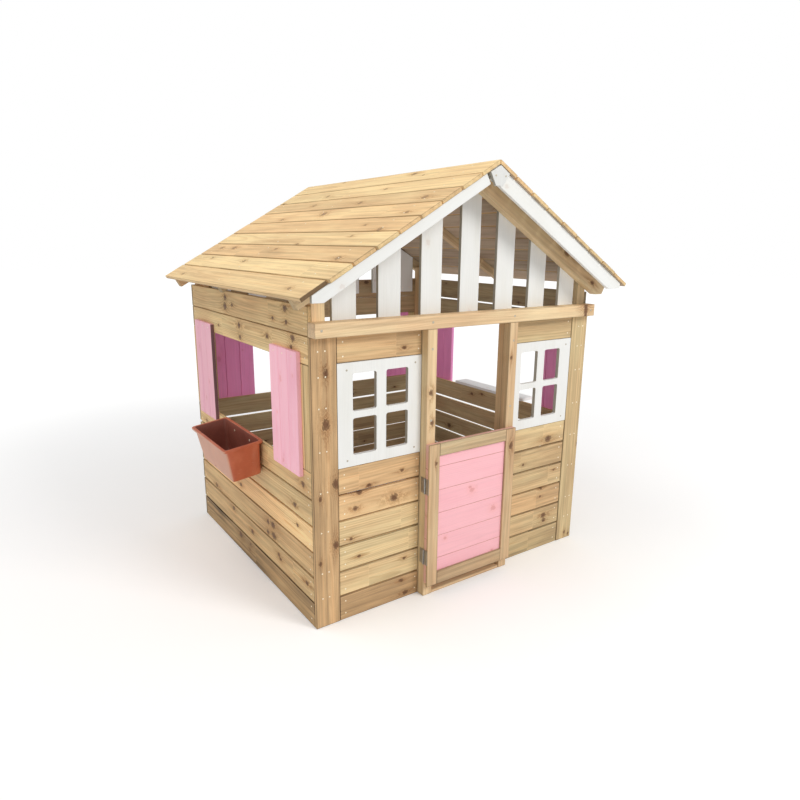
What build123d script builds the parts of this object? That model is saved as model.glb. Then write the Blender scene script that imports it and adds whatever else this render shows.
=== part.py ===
from build123d import *
import os
from math import cos, sin, tan, radians

# Wooden garden playhouse with a half door, a pitched roof, shutters, a planter and a shelf.
# Millimetres, +Z up, the doorway side (front) faces -Y. The pieces are laid out from the outer
# front-left ground corner of the walls, and moved at export so that the origin is the bottom
# centre of the whole object's box.

os.makedirs("parts", exist_ok=True)
pieces = {}                # file name -> solids, filled section by section

# ------------------------------------------------------------ main dimensions
WIDTH = 1320.0             # walls, outside to outside (X)
DEPTH = 1188.0             # walls, outside to outside (Y)
BOARD = 14.0               # board thickness
STUD = 48.0                # square stock of header beam and corner posts

PLANK_PITCH = 96.0
LOWER_PLANKS = 6
SILL_Z = LOWER_PLANKS * PLANK_PITCH
HEAD_Z = 939.0             # bottom of the upper planks
UPPER_JOINT_Z = 1031.0     # middle of the joint between the two upper planks
WALL_TOP = UPPER_JOINT_Z + PLANK_PITCH
INFILL_Z = (SILL_Z + 1, HEAD_Z - 1)    # end boards and window frames, between sill and head

BEAM_Z0 = 1030.0           # header beam
BEAM_Y1 = BOARD
BEAM_Y0 = BEAM_Y1 - STUD

SLOPE = radians(30.0)
COS, SIN, TAN = cos(SLOPE), sin(SLOPE), tan(SLOPE)
RIDGE_X = WIDTH / 2
RIDGE_Z = 1594.0
UNDER_Z = RIDGE_Z - BOARD / COS        # roof underside at the ridge

TO_LEFT, TO_RIGHT = (-1, 0, 0), (1, 0, 0)
TO_FRONT, TO_BACK = (0, -1, 0), (0, 1, 0)


# -------------------------------------------------------------------- helpers
def block(x0, x1, y0, y1, z0, z1):
    return Pos((x0 + x1) / 2, (y0 + y1) / 2, (z0 + z1) / 2) * Box(x1 - x0, y1 - y0, z1 - z0)


def prism(points, y0, y1):
    """Polygon of (x, z) points, extruded from y0 to y1."""
    face = make_face(Polyline(*[(x, y0, z) for x, z in points], close=True))
    return extrude(face, amount=y1 - y0, dir=(0, 1, 0))


def bore_x(x, y, z, radius, length):
    """Cylinder along X, centred on a point."""
    return Pos(x, y, z) * Rot(0, 90, 0) * Cylinder(radius, length)


def fastener(x, y, z, out, length, shank_radius=1.2, head_radius=2.8, head_height=0.8):
    """Nail or screw; its head stands on a face at (x, y, z) and out points away from the wood."""
    shank = Pos(0, 0, -length / 2 + 0.2) * Cylinder(shank_radius, length + 0.4)
    head = Pos(0, 0, head_height / 2) * Cylinder(head_radius, head_height)
    body = shank + head
    return Plane(origin=(x, y, z), z_dir=out) * body


def nail_pair(z0, z1):
    """Heights of the two nails in a plank."""
    middle = (z0 + z1) / 2
    return [middle - 24, middle + 24]


def roof_point(side, along, below):
    """(x, z) at a distance down the slope from the ridge and below the top face.
    side is -1 for the left slope and 1 for the right."""
    return (RIDGE_X + side * (along * COS - below * SIN), RIDGE_Z - along * SIN - below * COS)


# ------------------------------------------------------- left, right and back walls
# joints between the six lower planks, from the ground up, and between the two upper ones
LEFT_GAPS, LEFT_UPPER_GAP = (5.0, 6.0, 5.0, 6.0, 5.0), 2.5
RIGHT_GAPS, RIGHT_UPPER_GAP = (7.0, 7.0, 10.0, 9.0, 12.0), 8.0
BACK_GAPS, BACK_UPPER_GAP = (6.0, 6.0, 6.0, 7.0, 11.0), 1.0
# start and end of the two upright boards at each wall end
SIDE_END_BOARDS = ((BOARD, 54.5), (56.0, 97.0))
BACK_END_BOARDS = ((0, 46), (47.5, 94))
NAIL_INSET = 38.0          # from the wall end
NAIL_LENGTH = 26.0

lower_nails_z = [z for k in range(LOWER_PLANKS)
                 for z in nail_pair(k * PLANK_PITCH, (k + 1) * PLANK_PITCH)]
wall_nails_z = (lower_nails_z + nail_pair(HEAD_Z, UPPER_JOINT_Z)
                + nail_pair(UPPER_JOINT_Z, WALL_TOP))


def lower_spans(gaps):
    """Bottom and top of the six lower planks."""
    bottoms = [0] + [(k + 1) * PLANK_PITCH + gap / 2 for k, gap in enumerate(gaps)]
    tops = [(k + 1) * PLANK_PITCH - gap / 2 for k, gap in enumerate(gaps)] + [SILL_Z]
    return list(zip(bottoms, tops))


def upper_spans(gap):
    return [(HEAD_Z, UPPER_JOINT_Z - gap / 2), (UPPER_JOINT_Z + gap / 2, WALL_TOP)]


def with_mirror(spans, size):
    """The spans and their mirror images in a wall of the given size."""
    return list(spans) + [(size - b, size - a) for a, b in spans]


def side_wall(name, x0, face_x, out, gaps, upper_gap):
    """Side wall planks, which stop short of the front and back walls."""
    x1 = x0 + BOARD
    for level, spans in (("lower", lower_spans(gaps)), ("upper", upper_spans(upper_gap))):
        pieces[f"{name}_{level}_planks"] = [
            block(x0, x1, BOARD, DEPTH - BOARD, a, b) for a, b in spans]
    pieces[name + "_end_boards"] = [
        block(x0, x1, a, b, *INFILL_Z) for a, b in with_mirror(SIDE_END_BOARDS, DEPTH)]
    pieces[name + "_nails"] = [
        fastener(face_x, y, z, out, NAIL_LENGTH)
        for z in wall_nails_z for y in (NAIL_INSET, DEPTH - NAIL_INSET)]


def back_wall():
    """Full-width planks that cover the ends of the side planks."""
    y0 = DEPTH - BOARD
    for level, spans in (("lower", lower_spans(BACK_GAPS)),
                         ("upper", upper_spans(BACK_UPPER_GAP))):
        pieces[f"back_wall_{level}_planks"] = [block(0, WIDTH, y0, DEPTH, a, b) for a, b in spans]
    pieces["back_wall_end_boards"] = [
        block(a, b, y0, DEPTH, *INFILL_Z) for a, b in with_mirror(BACK_END_BOARDS, WIDTH)]
    pieces["back_wall_nails"] = [
        fastener(x, DEPTH, z, TO_BACK, NAIL_LENGTH)
        for z in wall_nails_z for x in (NAIL_INSET, WIDTH - NAIL_INSET)]


side_wall("left_wall", 0, 0.0, TO_LEFT, LEFT_GAPS, LEFT_UPPER_GAP)
side_wall("right_wall", WIDTH - BOARD, WIDTH, TO_RIGHT, RIGHT_GAPS, RIGHT_UPPER_GAP)
back_wall()

# ----------------------------------------------------------------- front wall
CORNER_WIDTH = 94.0        # corner boards
POST_WIDTH = 42.0
POSTS_X = (438.0, 832.0)   # left edges of the two door posts
POST_Y0 = BEAM_Y0
PANEL_Y0 = 2.0             # the planks sit this far behind the corner boards
PANEL_Y1 = PANEL_Y0 + BOARD
BATTEN_Y1 = PANEL_Y1 + BOARD
PANEL_JOINT = 1.0          # between a panel and its corner board or post
PANELS_X = ((CORNER_WIDTH + PANEL_JOINT, POSTS_X[0] - PANEL_JOINT),
            (POSTS_X[1] + POST_WIDTH + PANEL_JOINT, WIDTH - CORNER_WIDTH - PANEL_JOINT))
FRONT_GAPS = (5.0, 5.0, 6.0, 5.0, 6.0)
BATTENS_X = ((98, 138), (396, 437), (876, 917), (1182, 1222))
POST_TOP = 1190.0          # corner posts

FRAME_Y0 = 0.5             # front of the window frames
PANES_X = (((154, 248), (288, 380)), ((936, 1029), (1070, 1160)))
PANES_Z = ((616.0, 746.0), (770.0, 900.0))
PANE_RADIUS = 8.0


def window_frame(x0, x1, panes_x):
    """Board with four round-cornered openings."""
    frame = block(x0, x1, FRAME_Y0, PANEL_Y1, *INFILL_Z)
    for a, b in panes_x:
        for z0, z1 in PANES_Z:
            pane = Plane.XZ * Pos((a + b) / 2, (z0 + z1) / 2) * RectangleRounded(
                b - a, z1 - z0, PANE_RADIUS)
            frame = frame - Pos(0, 40, 0) * extrude(pane, amount=80)
    return frame


for name, (x0, x1), panes_x in zip(("front_left", "front_right"), PANELS_X, PANES_X):
    pieces[name + "_lower_planks"] = [
        block(x0, x1, PANEL_Y0, PANEL_Y1, a, b) for a, b in lower_spans(FRONT_GAPS)]
    pieces[name + "_window_frame"] = [window_frame(x0, x1, panes_x)]

pieces["front_corner_boards"] = [
    block(a, b, 0, BOARD, 0, BEAM_Z0) for a, b in with_mirror([(0, CORNER_WIDTH)], WIDTH)]
pieces["front_top_planks"] = [
    block(a, b, PANEL_Y0, PANEL_Y1, HEAD_Z, BEAM_Z0) for a, b in PANELS_X]
pieces["front_panel_battens"] = [
    block(a, b, PANEL_Y1, BATTEN_Y1, 0, BEAM_Z0) for a, b in BATTENS_X]
pieces["corner_posts"] = [
    block(x, x + STUD, y, y + STUD, 0, POST_TOP)
    for x in (BOARD, WIDTH - BOARD - STUD) for y in (BOARD, DEPTH - BOARD - STUD)]
pieces["door_jamb_studs"] = [
    block(x, x + POST_WIDTH, 0, BATTEN_Y1, 0, BEAM_Z0) for x in POSTS_X]
pieces["door_posts"] = [block(x, x + POST_WIDTH, POST_Y0, 0, 0, BEAM_Z0) for x in POSTS_X]
pieces["door_threshold"] = [
    block(POSTS_X[0] + POST_WIDTH, POSTS_X[1], POST_Y0 + 2, BATTEN_Y1, 0, 12)]
pieces["header_beam"] = [block(0, WIDTH, BEAM_Y0, BEAM_Y1, BEAM_Z0, BEAM_Z0 + STUD)]

# fasteners of the front wall
PANEL_NAILS_X = (118.0, 424.0, 888.0, 1202.0)
CORNER_NAILS_X = (26.0, 52.0, WIDTH - 52.0, WIDTH - 26.0)
CORNER_NAILS_Z = (112, 208, 360, 504, 648, 796, 900, 984)
WINDOW_SCREWS_X = (131.0, 410.0, 903.0, 1196.0)
WINDOW_SCREWS_Z = (600.0, 913.0)
POST_SCREWS_X = [x + POST_WIDTH / 2 for x in POSTS_X]

pieces["front_wall_nails"] = [
    fastener(x, PANEL_Y0, z, TO_FRONT, 24)
    for z in lower_nails_z + nail_pair(HEAD_Z, BEAM_Z0) for x in PANEL_NAILS_X
] + [fastener(x, 0.0, z, TO_FRONT, NAIL_LENGTH) for z in CORNER_NAILS_Z for x in CORNER_NAILS_X]
pieces["window_frame_screws"] = [
    fastener(x, FRAME_Y0, z, TO_FRONT, 24, shank_radius=1.6, head_radius=3.6, head_height=1.0)
    for x in WINDOW_SCREWS_X for z in WINDOW_SCREWS_Z]
pieces["frame_screws"] = [
    fastener(x, BEAM_Y0, 1054, TO_FRONT, 34, shank_radius=2.2, head_radius=4.5, head_height=1.2)
    for x in (24.0, *POST_SCREWS_X, WIDTH - 24.0)
] + [
    fastener(x, POST_Y0, z, TO_FRONT, 50, shank_radius=2.2, head_radius=4.5, head_height=0.6)
    for x in POST_SCREWS_X for z in (700.0, 960.0)]

# ---------------------------------------------------------------- roof planks
ROOF_PITCH = 95.0
ROOF_GAP = 4.5
ROOF_Y0, ROOF_Y1 = -124.0, 1287.0
EAVE_EXTRA = 7.0           # the lowest left plank reaches this much further
RIDGE_JOINT = 0.5          # from the ridge line to the planks and rafters on each side
# how far each plank end stops short of ROOF_Y0 or ROOF_Y1, from ridge to eave
FRONT_SHORT = {-1: (2, 0, 3, 1, 2, 0, 3, 1, 12), 1: (0, 2, 1, 3, 0, 2, 1, 0, 3)}
REAR_SHORT = (0, 3, 1, 4, 0, 2, 5, 1, 0)
ROOF_PLANKS = len(REAR_SHORT)


def roof_plank(side, k):
    """Plank k of one slope, counted from the ridge."""
    upper = k * ROOF_PITCH + ROOF_GAP / 2
    lower = (k + 1) * ROOF_PITCH
    if k < ROOF_PLANKS - 1:
        lower -= ROOF_GAP / 2
    elif side < 0:
        lower += EAVE_EXTRA
    if k == 0:             # cut upright along the ridge
        x, drop = RIDGE_X + side * RIDGE_JOINT, RIDGE_JOINT * TAN
        top, bottom = (x, RIDGE_Z - drop), (x, UNDER_Z - drop)
    else:
        top, bottom = roof_point(side, upper, 0), roof_point(side, upper, BOARD)
    section = [top, roof_point(side, lower, 0), roof_point(side, lower, BOARD), bottom]
    return prism(section, ROOF_Y0 + FRONT_SHORT[side][k], ROOF_Y1 - REAR_SHORT[k])


for name, side in (("left", -1), ("right", 1)):
    pieces["roof_planks_" + name] = [roof_plank(side, k) for k in range(ROOF_PLANKS)]

# -------------------------------------------------------------------- rafters
RAFTER = 35.0              # thickness
LEFT_TAIL, RIGHT_TAIL = 850.0, 858.0   # from the ridge to the tail ends, along the slope
TAIL_CUT_Z = 1117.0        # level cut under the front right tail
FRONT_RAFTER_Y = BEAM_Y1 - RAFTER
MIDDLE_RIGHT_Y = DEPTH / 2 - RAFTER / 2
MIDDLE_LEFT_Y = MIDDLE_RIGHT_Y + RAFTER + 0.5      # stands behind the right one
REAR_RAFTER_Y = DEPTH - BOARD
# name, front face of left and right rafter, depth of left and right rafter, level cut on the right
RAFTERS = (
    ("front", FRONT_RAFTER_Y, FRONT_RAFTER_Y, 45.0, 60.0, TAIL_CUT_Z),
    ("middle", MIDDLE_LEFT_Y, MIDDLE_RIGHT_Y, 32.0, 32.0, None),
    ("rear", REAR_RAFTER_Y, REAR_RAFTER_Y, 45.0, 45.0, None),
)


def rafter(side, y0, depth, end, cut_z=None):
    """Rafter under the planks, end square to its length, optionally cut level under the tail."""
    lower_z = UNDER_Z - depth / COS    # underside, extended to the ridge line
    drop = RIDGE_JOINT * TAN
    section = [(RIDGE_X + side * RIDGE_JOINT, UNDER_Z - drop),
               (RIDGE_X + side * RIDGE_JOINT, lower_z - drop)]
    if cut_z is None:
        section.append(roof_point(side, end, BOARD + depth))
    else:
        below = (RIDGE_Z - end * SIN - cut_z) / COS    # where the square end meets the cut
        section += [(RIDGE_X + side * (lower_z - cut_z) / TAN, cut_z),
                    roof_point(side, end, below)]
    section.append(roof_point(side, end, BOARD))
    return prism(section, y0, y0 + RAFTER)


for name, left_y, right_y, left_depth, right_depth, cut_z in RAFTERS:
    pieces["rafters_" + name] = [rafter(-1, left_y, left_depth, LEFT_TAIL),
                                 rafter(1, right_y, right_depth, RIGHT_TAIL, cut_z)]

# two nails per plank over each rafter
pieces["roof_nails"] = []
for side, rafters_y in ((-1, (FRONT_RAFTER_Y, MIDDLE_LEFT_Y, REAR_RAFTER_Y)),
                        (1, (FRONT_RAFTER_Y, MIDDLE_RIGHT_Y, REAR_RAFTER_Y))):
    for k in range(ROOF_PLANKS):
        for fraction in (0.25, 0.75):
            x, z = roof_point(side, (k + fraction) * ROOF_PITCH, 0)
            pieces["roof_nails"] += [
                fastener(x, y + RAFTER / 2, z, (side * SIN, 0, COS), 28) for y in rafters_y]

# ------------------------------------------------- rake boards and apex plate
RAKE_Y0 = -114.0
RAKE_Y1 = RAKE_Y0 + BOARD
LEFT_RAKE_DEPTH, RIGHT_RAKE_DEPTH = 39.5, 56.0
LEFT_RAKE_TOP = 67.0       # upper end, down the left slope from the ridge
RIGHT_RAKE_TOP = 58.0      # upper end, also on the left slope
RAKE_CUT_Z = 1147.0        # level cut under the tails
RAKE_REACH = 708.0         # from the ridge line to the vertical tail ends
PLATE_Y0 = -126.0
PLATE_HEAD = 1.0           # height of the screw heads on the apex plate
# apex plate outline: x from the ridge line, z
PLATE_OUTLINE = ((0, 1575), (-44.5, 1550.5), (-20.5, 1508.5), (12, 1508.5), (42, 1549))


def rake_tail(side, lower_z):
    """Tail of a rake board, from its underside up to the roof."""
    end_x = RIDGE_X + side * RAKE_REACH
    return [(RIDGE_X + side * (lower_z - RAKE_CUT_Z) / TAN, RAKE_CUT_Z), (end_x, RAKE_CUT_Z),
            (end_x, UNDER_Z - TAN * RAKE_REACH)]


def rake_board_left():
    """Stops short of the ridge, with its upper end square to the slope."""
    section = [roof_point(-1, LEFT_RAKE_TOP, BOARD),
               roof_point(-1, LEFT_RAKE_TOP, BOARD + LEFT_RAKE_DEPTH)]
    section += rake_tail(-1, UNDER_Z - LEFT_RAKE_DEPTH / COS)
    return prism(section, RAKE_Y0, RAKE_Y1)


def rake_board_right():
    """Runs on past the ridge behind the apex plate."""
    lower_z = UNDER_Z - RIGHT_RAKE_DEPTH / COS
    # depth at which the upper end meets the extended underside
    below = ((RIDGE_Z - RIGHT_RAKE_TOP * SIN - lower_z - RIGHT_RAKE_TOP * COS * TAN)
             / (COS - SIN * TAN))
    section = [(RIDGE_X, UNDER_Z), roof_point(-1, RIGHT_RAKE_TOP, BOARD),
               roof_point(-1, RIGHT_RAKE_TOP, below)]
    section += rake_tail(1, lower_z)
    return prism(section, RAKE_Y0, RAKE_Y1)


pieces["rake_board_left"] = [rake_board_left()]
pieces["rake_board_right"] = [rake_board_right()]
pieces["apex_plate"] = [prism([(RIDGE_X + x, z) for x, z in PLATE_OUTLINE], PLATE_Y0, RAKE_Y0)]
pieces["apex_plate_screws"] = [
    fastener(RIDGE_X + x, PLATE_Y0, 1541, TO_FRONT, 22,
             shank_radius=1.6, head_radius=3.6, head_height=PLATE_HEAD) for x in (-22, 22)]

# -------------------------------------------------------------- gable pickets
PICKET_WIDTH, PICKET_STEP, PICKETS = 91.0, 176.0, 7
PICKET_CLEARANCE = 4.0     # under the roof planks
PICKETS_X = [RIDGE_X + (i - (PICKETS - 1) / 2) * PICKET_STEP for i in range(PICKETS)]
BACK_PICKET_Y = DEPTH - 2 * BOARD


def picket(x, y0, bottom_z):
    """Upright board whose top follows the roof."""
    x0, x1 = x - PICKET_WIDTH / 2, x + PICKET_WIDTH / 2
    corners_x = [x1, RIDGE_X, x0] if x0 < RIDGE_X < x1 else [x1, x0]
    top = [(a, UNDER_Z - PICKET_CLEARANCE - abs(a - RIDGE_X) * TAN) for a in corners_x]
    return prism([(x0, bottom_z), (x1, bottom_z)] + top, y0, y0 + BOARD)


pieces["front_gable_pickets"] = [picket(x, BEAM_Y1, 1032) for x in PICKETS_X]
pieces["back_gable_pickets"] = [picket(x, BACK_PICKET_Y, 1056) for x in PICKETS_X]
pieces["picket_nails"] = [
    nail for x in PICKETS_X for dx in (-22, 22)
    for nail in (fastener(x + dx, BEAM_Y1 + BOARD, 1055, TO_BACK, 24),
                 fastener(x + dx, BACK_PICKET_Y, 1080, TO_FRONT, 22))]

# --------------------------------------------------------- shutters and shelf
SHUTTER = 16.0             # thickness
SHUTTER_START, SHUTTER_END = 71.0, 284.0       # from the wall end
SHUTTER_Z = (549.0, 976.0)
SHUTTER_NAILS_Z = (562.0, 958.0)
SHUTTER_JOINT = 1.5
SHUTTER_BOARD = (SHUTTER_END - SHUTTER_START - 2 * SHUTTER_JOINT) / 3
SHELF_Y0, SHELF_Y1, SHELF_X1 = 343.0, 845.0, 1386.0

near_spans = []            # the three boards, measured from either wall end
for k in range(3):
    start = SHUTTER_START + k * (SHUTTER_BOARD + SHUTTER_JOINT)
    near_spans.append((start, start + SHUTTER_BOARD))
pieces["shutter_nails"] = []

for end, size_y in (("front", 0), ("rear", DEPTH)):
    spans = [sorted((abs(size_y - a), abs(size_y - b))) for a, b in near_spans]
    for name, x0, face_x, out in (("left", -SHUTTER, -SHUTTER, TO_LEFT),
                                  ("right", WIDTH, WIDTH + SHUTTER, TO_RIGHT)):
        pieces[f"{name}_shutter_{end}"] = [
            block(x0, x0 + SHUTTER, a, b, *SHUTTER_Z) for a, b in spans]
        pieces["shutter_nails"] += [
            fastener(face_x, (a + b) / 2, z, out, 24) for a, b in spans for z in SHUTTER_NAILS_Z]

for end, size_x in (("left", 0), ("right", WIDTH)):
    spans = [sorted((abs(size_x - a), abs(size_x - b))) for a, b in near_spans]
    pieces["back_shutter_" + end] = [
        block(a, b, DEPTH, DEPTH + SHUTTER, *SHUTTER_Z) for a, b in spans]
    pieces["shutter_nails"] += [
        fastener((a + b) / 2, DEPTH + SHUTTER, z, TO_BACK, 24)
        for a, b in spans for z in SHUTTER_NAILS_Z]

# the shelf lies on the top lower plank of the right wall
pieces["window_shelf"] = [
    block(WIDTH - BOARD, SHELF_X1, SHELF_Y0, SHELF_Y1, SILL_Z, SILL_Z + BOARD)]

# -------------------------------------------------------------------- planter
PLANTER_TILT = 7.5         # degrees, about the rim edge at the wall
PLANTER_Z0, PLANTER_Z1 = 452.0, 592.0
RIM = (-162.0, -4.0, 397.0, 791.0)     # x0, x1, y0, y1 before leaning
RIM_OVERHANG, RIM_HEIGHT = 10.0, 10.0
TAPER_X, TAPER_Y = 12.0, 18.0          # inset of the foot from the body's top, on each side
PLANTER_WALL = 3.0
PLANTER_SCREWS_Y, PLANTER_SCREWS_Z = (513.0, 675.0), 562.0


def inset(rect, dx, dy):
    x0, x1, y0, y1 = rect
    return (x0 + dx, x1 - dx, y0 + dy, y1 - dy)


def rounded(rect, z, radius):
    x0, x1, y0, y1 = rect
    return Plane.XY.offset(z) * Pos((x0 + x1) / 2, (y0 + y1) / 2) * RectangleRounded(
        x1 - x0, y1 - y0, radius)


def planter():
    """Tapered trough with a rim, leaning outwards at the top of the left wall's lower planks."""
    top = inset(RIM, RIM_OVERHANG, RIM_OVERHANG)
    foot = inset(top, TAPER_X, TAPER_Y)
    body = loft([rounded(foot, PLANTER_Z0, 8), rounded(top, PLANTER_Z1 - 2, 10)])
    rim = extrude(rounded(RIM, PLANTER_Z1 - RIM_HEIGHT, 14), amount=RIM_HEIGHT)
    wall = PLANTER_WALL
    hollow = loft([rounded(inset(foot, wall, wall), PLANTER_Z0 + wall, 6),
                   rounded(inset(top, wall, wall), PLANTER_Z1 + 0.5, 8)])
    trough = body + rim - hollow
    trough = trough - bore_x(-141, 613, PLANTER_Z0 + 12, 4.0, 40)      # low in the outer wall
    pivot_x = RIM[1]
    trough = (Pos(pivot_x, 0, PLANTER_Z1) * Rot(0, -PLANTER_TILT, 0)
              * Pos(-pivot_x, 0, -PLANTER_Z1) * trough)
    for y in PLANTER_SCREWS_Y:
        trough = trough - bore_x(-16, y, PLANTER_SCREWS_Z, 2.3, 22)
    return trough


pieces["planter"] = [planter()]
pieces["planter_screws"] = [
    fastener(-16.1, y, PLANTER_SCREWS_Z, TO_LEFT, 27,
             shank_radius=1.9, head_radius=4.5, head_height=1.4) for y in PLANTER_SCREWS_Y]

# ------------------------------------------------------------------ half door
DOOR_X0, DOOR_X1 = POSTS_X[0], 868.0
DOOR_Z0, DOOR_Z1 = 48.0, 614.0
DOOR_BACK_Y = -35.0
DOOR_FRAME_Y = (-57.0, DOOR_BACK_Y - BOARD)    # stiles and rails, in front of the planks
DOOR_PITCH, DOOR_PLANK = 92.2, 91.2
LEFT_STILE, RIGHT_STILE = 48.0, 50.0
TOP_RAIL, BOTTOM_RAIL = 47.0, 53.0
RAIL_X = (DOOR_X0 + LEFT_STILE + 0.5, DOOR_X1 - RIGHT_STILE - 0.5)

door_tops = [DOOR_Z1 - k * DOOR_PITCH for k in range(6)]
pieces["half_door_planks"] = [
    block(DOOR_X0, DOOR_X1, DOOR_FRAME_Y[1], DOOR_BACK_Y, z - DOOR_PLANK, z) for z in door_tops]
pieces["half_door_stiles"] = [
    block(a, b, *DOOR_FRAME_Y, DOOR_Z0, DOOR_Z1)
    for a, b in ((DOOR_X0, DOOR_X0 + LEFT_STILE), (DOOR_X1 - RIGHT_STILE, DOOR_X1))]
pieces["half_door_rails"] = [
    block(*RAIL_X, *DOOR_FRAME_Y, a, b)
    for a, b in ((DOOR_Z1 - TOP_RAIL, DOOR_Z1), (DOOR_Z0, DOOR_Z0 + BOTTOM_RAIL))]
pieces["half_door_nails"] = [
    fastener(x, DOOR_BACK_Y, z - DOOR_PLANK / 2 + 14, TO_BACK, 18,
             head_radius=2.6, head_height=0.5)
    for z in door_tops for x in (DOOR_X0 + LEFT_STILE / 2, DOOR_X1 - RIGHT_STILE / 2)]

# --------------------------------------------------------------------- hinges
# three-knuckle butt hinges on the left side faces of the door and its post
BARREL_RADIUS, PIN_RADIUS = 3.0, 1.5
HINGE_X, HINGE_Y = DOOR_X0 - BARREL_RADIUS, -34.5      # hinge axis
HINGE_HEIGHT = 60.0
HINGES_Z = (453.0, 168.0)              # centres
KNUCKLES = ((0.0, 19.7), (20.0, 40.0), (40.3, HINGE_HEIGHT))   # from the hinge's bottom
LEAF_X = (DOOR_X0 - 1.5, DOOR_X0)
FIXED_SCREW_Y, DOOR_SCREW_Y = -21.0, -43.0
SCREW_OFFSETS = (-20.0, 20.0)          # above and below the hinge centre


def leaf(centre_z, knuckles, bore, edge_y, screw_y):
    """Hinge leaf reaching from the axis to edge_y."""
    z0 = centre_z - HINGE_HEIGHT / 2
    way = 1 if edge_y > HINGE_Y else -1
    plate = block(*LEAF_X, *sorted((HINGE_Y + way * 3.6, edge_y)), z0, z0 + HINGE_HEIGHT)
    holes = None
    for a, b in knuckles:
        axis = Pos(HINGE_X, HINGE_Y, z0 + (a + b) / 2)
        web = block(*LEAF_X, *sorted((HINGE_Y, HINGE_Y + way * 4)), z0 + a, z0 + b)
        plate = plate + web + axis * Cylinder(BARREL_RADIUS, b - a)
        hole = axis * Cylinder(bore, b - a + 4)
        holes = hole if holes is None else holes + hole
    plate = plate - holes
    for dz in SCREW_OFFSETS:
        plate = plate - bore_x(DOOR_X0, screw_y, centre_z + dz, 2.2, 8)
    return plate


pieces["hinge_fixed_leaves"] = [
    leaf(z, KNUCKLES[::2], 1.52, -10.0, FIXED_SCREW_Y) for z in HINGES_Z]
pieces["hinge_door_leaves"] = [
    leaf(z, KNUCKLES[1:2], 1.56, -56.0, DOOR_SCREW_Y) for z in HINGES_Z]
pieces["hinge_pins"] = [
    Pos(HINGE_X, HINGE_Y, z) * Cylinder(PIN_RADIUS, HINGE_HEIGHT + 2) for z in HINGES_Z]
for name, y in (("post", FIXED_SCREW_Y), ("door", DOOR_SCREW_Y)):
    pieces[f"hinge_{name}_screws"] = [
        fastener(LEAF_X[0], y, z + dz, TO_LEFT, 22,
                 shank_radius=1.9, head_radius=3.6, head_height=1.0)
        for z in HINGES_Z for dz in SCREW_OFFSETS]

# --------------------------------------------------------------------- export
# centre of the whole box: planter rim to right eave, apex screw heads to rear roof edge
planter_x = RIM[1] - (RIM[1] - RIM[0]) * cos(radians(PLANTER_TILT))
eave_x = RIDGE_X + ROOF_PITCH * ROOF_PLANKS * COS
centre_x = (planter_x + eave_x) / 2
centre_y = (PLATE_Y0 - PLATE_HEAD + ROOF_Y1) / 2

for name, solids in pieces.items():
    moved = [Pos(-centre_x, -centre_y, 0) * solid for solid in solids]
    shape = moved[0] if len(moved) == 1 else Compound(children=moved)
    export_step(shape, f"parts/{name}.step")
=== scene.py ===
import math, random
import bpy, bmesh
import numpy as np
from mathutils import Vector, Matrix, noise


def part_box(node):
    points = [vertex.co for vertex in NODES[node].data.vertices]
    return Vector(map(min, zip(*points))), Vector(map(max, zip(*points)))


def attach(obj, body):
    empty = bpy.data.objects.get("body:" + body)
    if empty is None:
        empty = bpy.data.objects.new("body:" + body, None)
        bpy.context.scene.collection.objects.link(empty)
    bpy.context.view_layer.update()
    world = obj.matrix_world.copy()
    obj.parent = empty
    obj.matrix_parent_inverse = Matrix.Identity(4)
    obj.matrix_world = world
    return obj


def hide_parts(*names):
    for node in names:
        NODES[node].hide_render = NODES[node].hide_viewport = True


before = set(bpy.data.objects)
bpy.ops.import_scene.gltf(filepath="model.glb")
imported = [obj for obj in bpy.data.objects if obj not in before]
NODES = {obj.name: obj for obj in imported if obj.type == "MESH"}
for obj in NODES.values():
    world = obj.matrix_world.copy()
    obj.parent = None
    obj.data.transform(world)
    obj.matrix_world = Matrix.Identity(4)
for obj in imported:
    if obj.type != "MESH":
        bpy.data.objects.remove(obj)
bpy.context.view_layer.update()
RIDGE_X = (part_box("roof_planks_left")[1][0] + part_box("roof_planks_right")[0][0]) / 2
ANG = math.radians(30.0)
X, Y, Z = Vector((1, 0, 0)), Vector((0, 1, 0)), Vector((0, 0, 1))

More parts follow.
